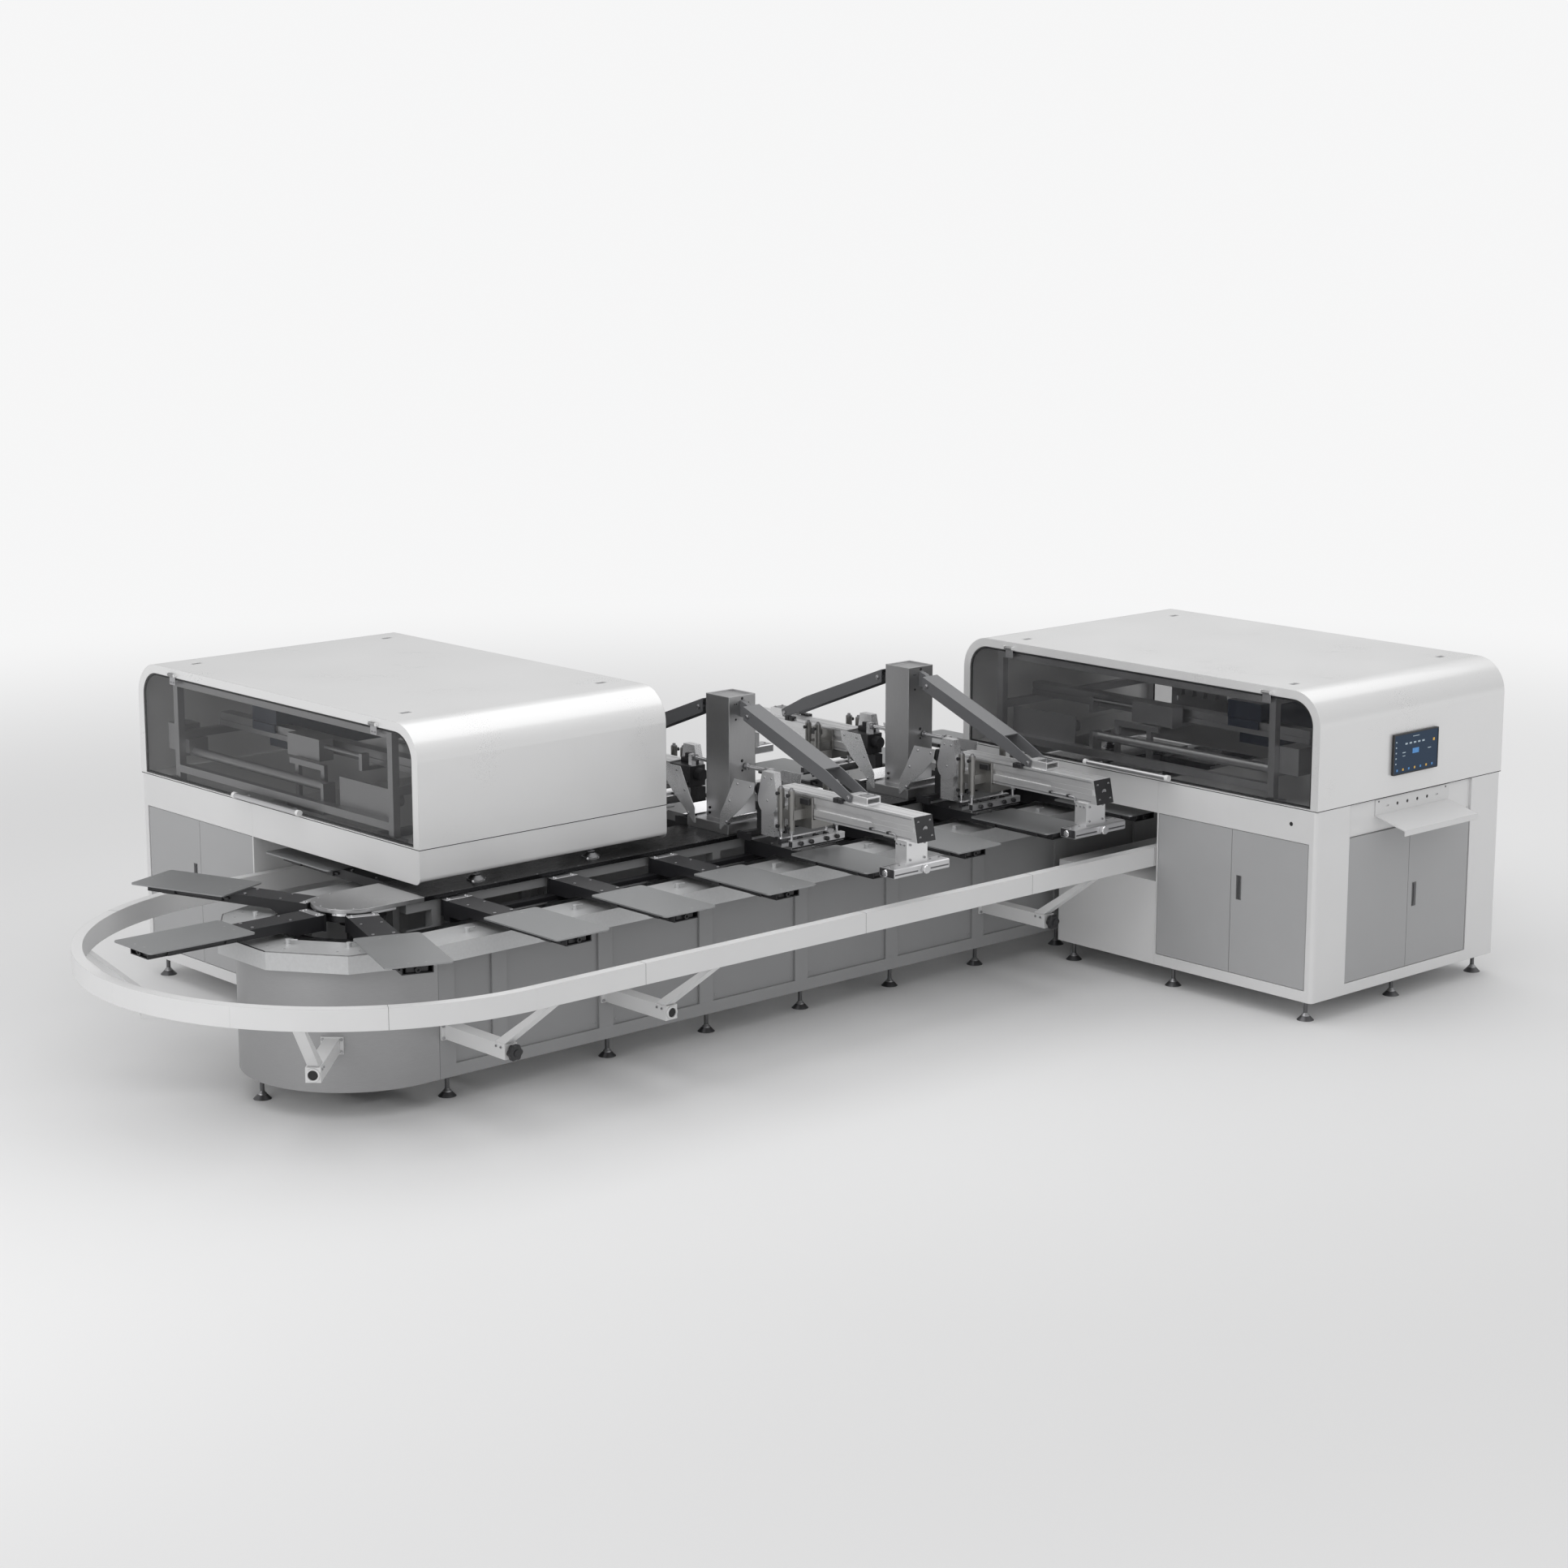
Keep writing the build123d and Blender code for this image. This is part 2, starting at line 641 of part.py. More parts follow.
def hood_shell():
    """Arched hood, open below: window opening in each end, hinge forks above it, roof clip pockets."""
    hood = arch(0, module_x0, module_x1)
    hood -= arch(hood_sheet, module_x0 + hood_sheet, module_x1 - hood_sheet)
    inner = hood_sheet
    hood -= box(module_x0 + inner, module_x1 - inner, module_y0 + inner, module_y1 - inner, seam - 1, seam + 20)
    hood -= window_outline(0, module_x0 - 1, module_x1 + 1)
    for x in clip_places:
        for y in (module_y0 + 328.0, module_y1 - 385.0):
            hood -= box(x - 34, x + 34, y - 20, y + 20, hood_top - 3, hood_top + 1)
    forks = []
    for y in hinge_places:
        for side in (-1, 1):
            a, b = y + side * 31.0, y + side * 43.0
            forks.append(box(module_x0 - hinge_out - 9, module_x0, min(a, b), max(a, b), hinge_z - 9, hinge_z + 9))
        forks.append(rod_y(module_x0 - hinge_out, y - 42, y + 42, hinge_z, hinge_pin))
    for fork in forks + mirrored(forks):
        hood += fork
    return [hood]


def window():
    """Tinted window on the module's -X face with its two knuckles and pull bar."""
    x0 = module_x0
    pane = window_outline(3.0, x0, x0 + window_thick)
    for y in hinge_places:
        tab = box(x0 - 5, x0, y - 29, y + 29, hinge_z - 60, hinge_z - 6)
        tab += rod_y(x0 - hinge_out, y - 30, y + 30, hinge_z, 9)
        tab += box(x0 - hinge_out - 2, x0 - 2, y - 29, y + 29, hinge_z - 14, hinge_z - 4)
        tab -= rod_y(x0 - hinge_out, y - 31, y + 31, hinge_z, hinge_pin + run_clearance)
        pane += tab
    middle = (module_y0 + module_y1) / 2
    bar = rod_y(x0 - 44, middle - 327, middle + 327, 1287, 15)
    for y in (middle - 238.0, middle + 238.0):
        bar += rod_x(x0 - 44, x0, y, 1287, 11)
    return pane + bar


def tray():
    """Open skirt under the hood: end plates, inner side plate, top flange and two feet on the deck."""
    x0, x1, y1 = module_x0, module_x1, module_y1
    skirt = box(x0, x1, cabinet_y1, y1, tray_bottom, seam)
    edge = skirt.edges().filter_by(Axis.X).group_by(Axis.Z)[0].sort_by(Axis.Y)[-1]
    skirt = fillet(edge, 40)
    skirt -= box(x0 + 6, x1 - 6, cabinet_y1 - 1, y1 - 6, tray_bottom - 1, seam - 8)
    skirt -= box(x0 + 110, x1 - 110, cabinet_y1 - 1, y1 - 350, seam - 9, seam + 1)
    for x in (1838.0, 2642.0):
        skirt += box(x - 30, x + 30, 30, y1 - 3, tray_bottom + 44, seam - 4)
        skirt += Pos(x, 68, deck_top + 12) * Cone(foot_radius, foot_radius * 0.5, 24)
        skirt += rod(x, 68, deck_top + 20, tray_bottom + 46, 12)
    return [skirt]


def cabinet():
    """Floor cabinet with door recesses on three sides, shelf, and the low box on its inner side."""
    x0, x1, y0, y1 = module_x0, module_x1, module_y0, cabinet_y1
    wall = cabinet_wall
    shell = box(x0, x1, y0, y1, cabinet_bottom, seam)
    shell = fillet(shell.edges().filter_by(Axis.Z).group_by(Axis.Y)[0], cabinet_edge)
    shell -= box(x0 + wall, x1 - wall, y0 + wall, y1 - 8, cabinet_bottom + 8, seam - 6)
    recess = door_thick + 2 * door_gap
    for a, b in ((x0 - 1, x0 + recess), (x1 - recess, x1 + 1)):
        shell -= box(a, b, y0 + 54, y1 - 10, door_bottom, door_top)
    shell -= box(x0 - 1, x1 + 1, y0 + 90, y1 - 50, door_bottom + 30, door_top - 30)
    shell -= box(side_x0, side_x1, y0 - 1, y0 + recess, door_bottom, door_top)
    shell -= box(side_x0, side_x1, y0 - 1, y0 + 15, door_top - 1, seam + 1)
    shell -= box(side_x0 + 40, side_x1 - 40, y0 - 1, y0 + wall + 1, door_bottom + 30, door_top - 30)
    for a in (door_bottom - 20, door_top - 30):
        shell += rod(x0 + 2 + door_thick / 2, y0 + 68, a, a + 50, 4)
        shell += rod(x1 - 2 - door_thick / 2, y0 + 68, a, a + 50, 4)
        shell += rod(side_x1 - 14, y0 + 2 + door_thick / 2, a, a + 50, 4)
    shell += box(x0 + wall - 1, x1 - wall + 1, y0 + 120, y1 - 7, 640, 646)
    return [shell]


def low_box():
    """Low supply box between a cabinet and the base."""
    x0, x1 = module_x0, module_x1
    low = box(x0, x1, cabinet_y1, low_box_y1, cabinet_bottom, low_box_top)
    low -= box(x0 + 4, x1 - 4, cabinet_y1 + 4, low_box_y1 - 4, cabinet_bottom + 4, low_box_top - 4)
    return [low]


def module_feet():
    feet = []
    for x in (module_x0 + 72, (module_x0 + module_x1) / 2, module_x1 - 72):
        feet.append(foot(x, module_y0 + 94, cabinet_bottom))
        feet.append(foot(x, cabinet_y1 - 94, cabinet_bottom))
        feet.append(foot(x, low_box_y1 - 70, cabinet_bottom))
    return feet


def door_leaf(length, handle_z):
    """Leaf along +X from a hinge at the origin, outer face to +Y."""
    half = door_thick / 2
    z0, z1 = door_bottom + 3, door_top - 3
    leaf = box(0, length, -half, half, z0, z1) + rod(0, 0, z0, z1, half)
    for a in (z0 - 1, z1 - 30):
        leaf -= rod(0, 0, a, a + 31, 4 + run_clearance)
    x = length - 58.0
    leaf -= box(x - 20, x + 20, half - 8, half + 1, handle_z, handle_z + handle_height)
    leaf += box(x - 8, x + 8, half - 9, half + 1, handle_z + 12, handle_z + handle_height - 12)
    return leaf


def fixed_leaf(length, place):
    half = door_thick / 2
    return place * box(0, length, -half - door_gap, half, door_bottom + 3, door_top - 3)


def module_doors():
    """Opening leaves, and the leaves that stay shut."""
    x0, y0 = module_x0, module_y0
    axis = door_gap + door_thick / 2
    face_hinge = y0 + 68
    face_leaf = Pos(x0 + axis, face_hinge, 0) * Rot(0, 0, 90) * door_leaf(face_split - 1.5 - face_hinge, 640.0)
    side_hinge = side_x1 - 14
    side_leaf = Pos(side_hinge, y0 + axis, 0) * Rot(0, 0, 180) * door_leaf(side_hinge - side_split - 1.5, 551.0)
    shut_length = cabinet_y1 - 13 - (face_split + 1.5)
    shut = fixed_leaf(shut_length, Pos(x0 + axis, face_split + 1.5, 0) * Rot(0, 0, 90))
    shut_side = fixed_leaf(side_split - 1.5 - side_x0 - 3, Pos(side_split - 1.5, y0 + axis, 0) * Rot(0, 0, 180))
    return face_leaf, side_leaf, [shut, shut_side]


def inner_frame():
    """Profile frame inside the hood: four posts, rails along X and Y, and cross members."""
    w = 45.0
    xs = (module_x0 + 26, module_x1 - 26 - w)
    ys = (-2385.0, -221.0)
    pieces = []
    for x in xs:
        for y in ys:
            pieces.append(box(x, x + w, y, y + w, seam, 1820))
        for z in (1306.0, 1820.0):
            pieces.append(box(x, x + w, ys[0] + w, ys[1], z, z + w))
        for y in ys:
            pieces.append(box(x, x + w, y, y + w, 1820, 1820 + w))
    for y in ys:
        for z in (1500.0, 1820.0):
            pieces.append(box(xs[0] + w, xs[1], y, y + w, z, z + w))
    for y in (ys[0] - 60, ys[1] + w + 8):
        for x in (xs[0], xs[1]):
            pieces.append(box(x, x + w, min(y, y + 60), y + 60, seam, seam + 20))
    return pieces


gantry_x = (1640.0, 2615.0)
gantry_z = 1545.0


def gantry():
    """Two long beams, the drive motor with its screw, portal bracket, roller, pump plate and service box."""
    pieces = []
    for x in gantry_x:
        beam = box(x, x + 80, -2385, -176, gantry_z, gantry_z + 80)
        for side in (x, x + 80):
            beam -= box(side - 8, side + 8, -2386, -175, gantry_z + 32, gantry_z + 48)
        pieces.append(beam)
    face = module_x0 + 71.0
    front = []
    portal = box(1440, 1500, -1390, -1020, seam - 8, 1262) + box(1460, 1484, -1380, -1033, 1490, 1524)
    portal += box(1460, 1484, -1325, -1290, 1258, 1492) + box(1460, 1484, -1068, -1033, 1258, 1492)
    front.append(portal)
    front.append(box(face, face + 20, -900, -235, 1320, 1351) + box(face + 18, face + 30, -775, -257, 1330, 1514))
    for i in range(5):
        front.append(rod_x(face + 30, face + 110, -322 - i * 95, 1440, 36))
    motor = box(1500, 1700, -1456, -1360, 1525, gantry_z) + box(1500, 1596, -1456, -1136, 1525, 1652)
    motor += rod_y(1548, -1136, -760, 1604, 14) + box(1530, 1700, -790, -760, 1525, gantry_z)
    motor += box(1530, 1580, -790, -760, 1525, 1622)
    front.append(motor)
    roller = rod_y(1420, -2340, -940, 1420, 28) + box(face, 1450, -2385, -2340, 1396, 1450)
    roller += box(face, 1450, -940, -912, 1320, 1450)
    front.append(roller)
    front.append(box(face, 1500, -2526, -2386, 1417, 1575) + box(face, 1500, -2390, -2304, 1417, 1499))
    return pieces + front + mirrored(front)


def module_carriage():
    """Digital print carriage that spans the two long beams and slides along them."""
    a, b = gantry_x[0], gantry_x[1] + 80
    top = gantry_z + 80
    body = box(a - 6, b + 6, -2021, -1771, top + 1, 1733)
    body += box(a + 110, b - 110, -2021, -1771, 1459, top + 2)
    body -= box(a + 20, b - 20, -2013, -1779, top + 9, 1725)
    body -= box(a + 118, b - 118, -2013, -1779, 1450, top + 1)
    for x in (a - 3, b + 3):
        side = 1 if x > 2000 else -1
        body += box(min(x, x + side * 12), max(x, x + side * 12), -2010, -1782, gantry_z + 33, top + 2)
        inner = x - side * 10
        body += box(min(x, inner), max(x, inner), -2000, -1792, gantry_z + 33, gantry_z + 47)
    return body


def touch_screen():
    """Operator panel on the outer side of the hood, and its mount."""
    y = module_y0
    panel = box(1959, 2380, y - 18, y - 4, 1370, 1611)
    panel = fillet(panel.edges().filter_by(Axis.Y), 8)
    panel -= box(1966, 2373, y - 19, y - 16, 1377, 1604)
    return [panel + box(2060, 2280, y - 6, y, 1410, 1570)]


def keyboard_shelf():
    """Sloping shelf below the operator panel, with a punched back plate."""
    y = module_y0 + 15
    back = box(1842, 2535, y - 5, y, 1146, 1243)
    for i in range(4):
        back -= rod_y(2049 + i * 93.7, y - 6, y + 1, 1195, 10)
    for x in (1955.0, 2422.0):
        back -= box(x - 12, x + 12, y - 6, y + 1, 1191, 1199)
    shelf = slab_yz([(y, 1146), (y, 1152), (-2938, 1096), (-2938, 1062), (-2934, 1062), (-2934, 1090)], 1842, 2535)
    return [back + shelf]


def print_modules():
    save("hood_shells", with_turned(hood_shell()))
    save("module_trays", with_turned(tray()))
    save("module_cabinets", with_turned(cabinet()))
    save("low_boxes", with_turned(low_box()))
    save("inner_frames", with_turned(inner_frame()))
    save("gantries", with_turned(gantry()))
    save("touch_screens", with_turned(touch_screen()))
    save("keyboard_shelves", with_turned(keyboard_shelf()))
    pane = window()
    face_leaf, side_leaf, shut = module_doors()
    save("shut_door_leaves", with_turned(shut + mirrored([shut[0]])))
    moving = {"inner_window": [pane], "outer_window": mirrored([pane]), "inner_door": [face_leaf],
              "outer_door": mirrored([face_leaf]), "side_door": [side_leaf], "print_unit": [module_carriage()]}
    for name, items in moving.items():
        save(f"right_{name}", items)
        save(f"left_{name}", turned(items))


os.makedirs("parts", exist_ok=True)
conveyor()
base_frame()
end_casings()
base_panels()
save("gutter_plates", gutter_plates() + gutter_clamps())
guide_track()
index_drives()
deck()
masts()
levelling_feet()
outer_rail()
rail_arms()
print_heads()
print_modules()
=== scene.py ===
import bpy
import bmesh
import math
from mathutils import Matrix, Vector


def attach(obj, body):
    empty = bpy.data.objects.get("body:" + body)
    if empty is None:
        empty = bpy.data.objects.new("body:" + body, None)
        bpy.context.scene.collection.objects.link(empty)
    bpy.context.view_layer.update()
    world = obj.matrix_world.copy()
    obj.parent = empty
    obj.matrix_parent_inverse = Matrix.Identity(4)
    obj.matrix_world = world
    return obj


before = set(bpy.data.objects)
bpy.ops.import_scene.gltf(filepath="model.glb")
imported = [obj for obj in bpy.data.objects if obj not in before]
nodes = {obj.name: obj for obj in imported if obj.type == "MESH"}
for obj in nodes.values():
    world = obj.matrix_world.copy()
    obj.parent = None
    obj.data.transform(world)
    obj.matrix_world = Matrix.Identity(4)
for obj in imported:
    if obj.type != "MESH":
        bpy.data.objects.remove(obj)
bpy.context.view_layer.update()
halfTurn = Matrix.Rotation(math.pi, 4, "Z")
print("stage: frame loaded,", len(nodes), "nodes")


# shader helpers
class Link:
    def __init__(self, finish, socket):
        self.finish = finish
        self.socket = socket

    def math(self, operation, a, b):
        return self.finish.node("ShaderNodeMath", {"operation": operation}, {0: a, 1: b})

    def __add__(self, other):
        return self.math("ADD", self, other)

    def __radd__(self, other):
        return self.math("ADD", other, self)

    def __sub__(self, other):
        return self.math("SUBTRACT", self, other)

    def __rsub__(self, other):
        return self.math("SUBTRACT", other, self)

    def __mul__(self, other):
        return self.math("MULTIPLY", self, other)

    def __rmul__(self, other):
        return self.math("MULTIPLY", other, self)

    def __gt__(self, other):
        return self.math("GREATER_THAN", self, other)


class Finish:
    def __init__(self, name, color, **fixed):
        self.material = bpy.data.materials.new(name)
        self.material.use_nodes = True
        self.tree = self.material.node_tree
        self.shader = self.tree.nodes["Principled BSDF"]
        self.shader.inputs["Base Color"].default_value = (*color, 1)
        self.color = color
        for key, value in fixed.items():
            self.shader.inputs[key.replace("_", " ")].default_value = value
        self.place = self.node("ShaderNodeTexCoord", {}, {}, "Object")

    def node(self, kind, settings, values, output=0):
        made = self.tree.nodes.new(kind)
        for key, value in settings.items():
            if key == "stops":
                ramp = made.color_ramp
                while len(ramp.elements) < len(value):
                    ramp.elements.new(0.5)
                for stop, (place, shade) in zip(ramp.elements, value):
                    stop.position = place
                    stop.color = (*shade, 1) if not isinstance(shade, float) else (shade, shade, shade, 1)
            else:
                setattr(made, key, value)
        for key, value in values.items():
            if isinstance(value, Link):
                self.tree.links.new(value.socket, made.inputs[key])
            elif value is not None:
                made.inputs[key].default_value = value
        return Link(self, made.outputs[output])

    def stretched(self, scale):
        return self.node("ShaderNodeMapping", {}, {"Vector": self.place, "Scale": scale})

    def noise(self, scale, detail=3.0, stretch=(1, 1, 1)):
        return self.node("ShaderNodeTexNoise", {}, {"Vector": self.stretched(stretch), "Scale": scale,
                                                    "Detail": detail, "Roughness": 0.55})

    def spread(self, link, low, high):
        settings = {"stops": [(0.32, low), (0.68, high)]}
        return self.node("ShaderNodeValToRGB", settings, {"Fac": link})

    def blend(self, factor, a, b):
        return self.node("ShaderNodeMix", {"data_type": "RGBA"}, {0: factor, 6: a, 7: b}, 2)

    def feed(self, name, link):
        self.tree.links.new(link.socket, self.shader.inputs[name])
        return self

    def softEdge(self, radius):
        return self.node("ShaderNodeBevel", {"samples": 4}, {"Radius": radius})

    def bump(self, height, strength, distance, radius=0.0):
        under = self.softEdge(radius) if radius else None
        out = self.node("ShaderNodeBump", {}, {"Height": height, "Strength": strength, "Distance": distance,
                                               "Normal": under})
        return self.feed("Normal", out)


def shaded(color, amount):
    return tuple(min(1.0, c * amount) for c in color)


def paint(name, color, roughness, grain, edge=0.0, coat=0.0, dust=0.05, pearl=0.0):
    f = Finish(name, color, Coat_Weight=coat, Coat_Roughness=0.08, Metallic=pearl)
    cloud = f.noise(1.7, 4.0)
    speck = f.noise(230.0, 2.0)
    f.feed("Base Color", f.blend(f.spread(cloud, 0.0, 1.0), (*shaded(color, 1 - dust), 1), (*color, 1)))
    f.feed("Roughness", cloud * 0.12 + speck * 0.08 + (roughness - 0.1))
    return f.bump(speck, grain, 0.0006, edge)


def brushed(name, color, roughness, stretch, edge=0.0, metallic=1.0, depth=0.05):
    f = Finish(name, color, Metallic=metallic)
    lines = f.noise(60.0, 4.0, stretch)
    cloud = f.noise(2.3, 3.0)
    f.feed("Base Color", f.blend(lines, (*shaded(color, 0.86), 1), (*shaded(color, 1.06), 1)))
    f.feed("Roughness", lines * 0.16 + cloud * 0.1 + (roughness - 0.12))
    return f.bump(lines, depth, 0.0005, edge)


def moulded(name, color, roughness, grain=0.12):
    f = Finish(name, color)
    speck = f.noise(420.0, 2.0)
    smear = f.noise(9.0, 3.0)
    f.feed("Base Color", f.blend(smear, (*shaded(color, 0.8), 1), (*shaded(color, 1.25), 1)))
    f.feed("Roughness", smear * 0.18 + (roughness - 0.09))
    return f.bump(speck, grain, 0.0004)


def glassPane(name, color, alpha):
    f = Finish(name, color, Roughness=0.06, IOR=1.5, Alpha=alpha, Coat_Weight=0.6, Coat_Roughness=0.03)
    film = f.noise(3.0, 3.0, (1, 1, 2.5))
    f.feed("Base Color", f.blend(film, (*shaded(color, 0.8), 1), (*shaded(color, 1.3), 1)))
    f.feed("Roughness", film * 0.05 + 0.035)
    return f


def screenFace(name, settings):
    f = Finish(name, settings["ground"], Roughness=0.40, Coat_Weight=0.08, Specular_IOR_Level=0.2)
    cells = f.stretched(settings["cells"])
    grid = f.node("ShaderNodeTexBrick", {"offset": 0.0}, {
        "Vector": f.node("ShaderNodeVectorRotate", {"rotation_type": "X_AXIS"}, {"Vector": cells,
                                                                              "Angle": math.pi / 2}),
        "Color1": (0, 0, 0, 1), "Color2": (1, 1, 1, 1), "Mortar": (0, 0, 0, 1), "Scale": 1.0,
        "Mortar Size": 0.2, "Brick Width": 0.5, "Row Height": 0.25})
    pick = f.noise(34.0, 1.0)
    lit = f.node("ShaderNodeSeparateColor", {}, {"Color": grid}) * (pick > 0.52)
    tint = f.node("ShaderNodeValToRGB", {"stops": settings["tints"]}, {"Fac": f.noise(13.0, 0.0)})
    color = f.blend(lit, (*settings["ground"], 1), tint)
    f.feed("Base Color", color)
    f.feed("Emission Color", color)
    f.shader.inputs["Emission Strength"].default_value = settings["glow"]
    return f


def litMark(name, color, glow):
    f = Finish(name, color, Roughness=0.4, Emission_Color=(*color, 1), Emission_Strength=glow)
    f.feed("Base Color", f.blend(f.noise(90.0, 2.0), (*shaded(color, 0.7), 1), (*color, 1)))
    return f


finishes = {
    "hoodWhite": paint("hoodWhite", (0.78, 0.78, 0.78), 0.30, 0.03, 0.004, 0.35, 0.02, 0.30),
    "cabinetWhite": paint("cabinetWhite", (0.72, 0.72, 0.722), 0.42, 0.10, 0.004, 0.1, 0.03),
    "skirtWhite": paint("skirtWhite", (0.74, 0.74, 0.742), 0.34, 0.05, 0.004, 0.25, 0.03, 0.15),
    "panelGrey": paint("panelGrey", (0.31, 0.312, 0.317), 0.45, 0.16, 0.002, 0.0, 0.04),
    "doorGrey": paint("doorGrey", (0.40, 0.402, 0.408), 0.42, 0.16, 0.002, 0.0, 0.04),
    "railWhite": paint("railWhite", (0.70, 0.70, 0.702), 0.40, 0.08, 0.004, 0.1, 0.04),
    "gutterGrey": brushed("gutterGrey", (0.58, 0.585, 0.59), 0.40, (1, 1, 1), 0.002, 0.55),
    "casingSatin": brushed("casingSatin", (0.36, 0.36, 0.365), 0.40, (0.4, 0.4, 9), 0.002, 0.45),
    "armBlack": paint("armBlack", (0.012, 0.012, 0.014), 0.42, 0.20, 0.002),
    "palletGrey": brushed("palletGrey", (0.34, 0.345, 0.35), 0.42, (0.6, 6, 1), 0.002, 0.8),
    "deckDark": brushed("deckDark", (0.036, 0.036, 0.038), 0.26, (0.3, 7, 1), 0.002, 0.9),
    "capSatin": brushed("capSatin", (0.56, 0.56, 0.565), 0.30, (0.3, 8, 1), 0.004),
    "mastSatin": brushed("mastSatin", (0.54, 0.54, 0.545), 0.34, (7, 7, 0.3), 0.006, 1.0, 0.02),
    "strutDark": paint("strutDark", (0.125, 0.127, 0.133), 0.34, 0.06, 0.003),
    "beamAlu": brushed("beamAlu", (0.86, 0.86, 0.865), 0.34, (7, 0.3, 7), 0.002, 0.8, 0.02),
    "barAlu": brushed("barAlu", (0.66, 0.66, 0.67), 0.34, (0.3, 7, 7), 0.002),
    "innerAlu": brushed("innerAlu", (0.46, 0.46, 0.465), 0.34, (4, 4, 4), 0.002, 0.9, 0.02),
    "foldedSteel": paint("foldedSteel", (0.80, 0.80, 0.81), 0.28, 0.01, 0.0, 0.0, 0.02, 0.80),
    "carriageSteel": paint("carriageSteel", (0.30, 0.295, 0.285), 0.30, 0.02, 0.0, 0.0, 0.06, 0.85),
    "basePanel": paint("basePanel", (0.30, 0.302, 0.307), 0.42, 0.16, 0.002, 0.0, 0.04),
    "chrome": brushed("chrome", (0.80, 0.80, 0.81), 0.14, (1, 1, 1), 0.0, 1.0, 0.01),
    # this dark steel finish is also painted shade for the slot strips on the head clamps
    "steelDark": brushed("steelDark", (0.16, 0.16, 0.165), 0.38, (3, 3, 1), 0.001),
    "boltSteel": brushed("boltSteel", (0.42, 0.42, 0.43), 0.30, (5, 5, 5)),
    # this black finish is rubber for seals and squeegee blades, and is also painted shade for the discs that stand in
    # for the dark inside of holes and bores
    "rubberBlack": moulded("rubberBlack", (0.016, 0.016, 0.017), 0.62),
    "plasticBlack": moulded("plasticBlack", (0.022, 0.022, 0.024), 0.40),
    "plasticWhite": moulded("plasticWhite", (0.78, 0.78, 0.78), 0.35, 0.05),
    "unitBlue": paint("unitBlue", (0.020, 0.030, 0.055), 0.36, 0.10, 0.003, 0.2),
    "tintedGlass": glassPane("tintedGlass", (0.035, 0.035, 0.038), 0.20),
    "markBlue": litMark("markBlue", (0.06, 0.22, 0.50), 0.35),
    "markPale": litMark("markPale", (0.36, 0.44, 0.50), 0.30),
    "markAmber": litMark("markAmber", (0.62, 0.36, 0.05), 0.35),
    "screenFace": screenFace("screenFace", {
        "ground": (0.012, 0.028, 0.055), "cells": (9.0, 9.0, 18.0), "glow": 0.35,
        "tints": [(0.30, (0.05, 0.22, 0.55)), (0.48, (0.25, 0.42, 0.62)), (0.58, (0.60, 0.42, 0.08)),
                  (0.70, (0.05, 0.22, 0.50))]}),
}
nodeFinish = {
    "base_frame": "panelGrey", "base_panels": "basePanel", "belt_covers": "foldedSteel", "clamp_bars": "barAlu",
    "deck_plate": "deckDark", "end_caps": "capSatin", "end_casings": "casingSatin", "gantries": "innerAlu",
    "guard_brackets": "foldedSteel", "guide_track": "chrome", "gutter_plates": "gutterGrey",
    "head_beams": "beamAlu", "head_drives": "plasticBlack", "hood_shells": "hoodWhite",
    "index_drives": "steelDark", "inner_frames": "innerAlu", "keyboard_shelves": "cabinetWhite",
    "levelling_feet": "steelDark", "low_boxes": "cabinetWhite", "mast_struts": "strutDark", "masts": "mastSatin",
    "module_cabinets": "skirtWhite", "module_trays": "skirtWhite", "outer_rail": "railWhite",
    "rail_arms": "railWhite", "shut_door_leaves": "doorGrey", "tie_shafts": "chrome",
    "touch_screens": "plasticBlack",
}
endings = {"_arms": "armBlack", "_pallets": "palletGrey", "_carriage": "carriageSteel", "_squeegee": "barAlu",
           "_flood_bar": "chrome", "_window": "tintedGlass", "_door": "doorGrey", "_print_unit": "unitBlue"}


def finishOf(name):
    if name in nodeFinish:
        return nodeFinish[name]
    return next(value for ending, value in endings.items() if name.endswith(ending))


for name, obj in nodes.items():
    obj.data.materials.clear()
    obj.data.materials.append(finishes[finishOf(name)].material)
print("stage: finishes made")


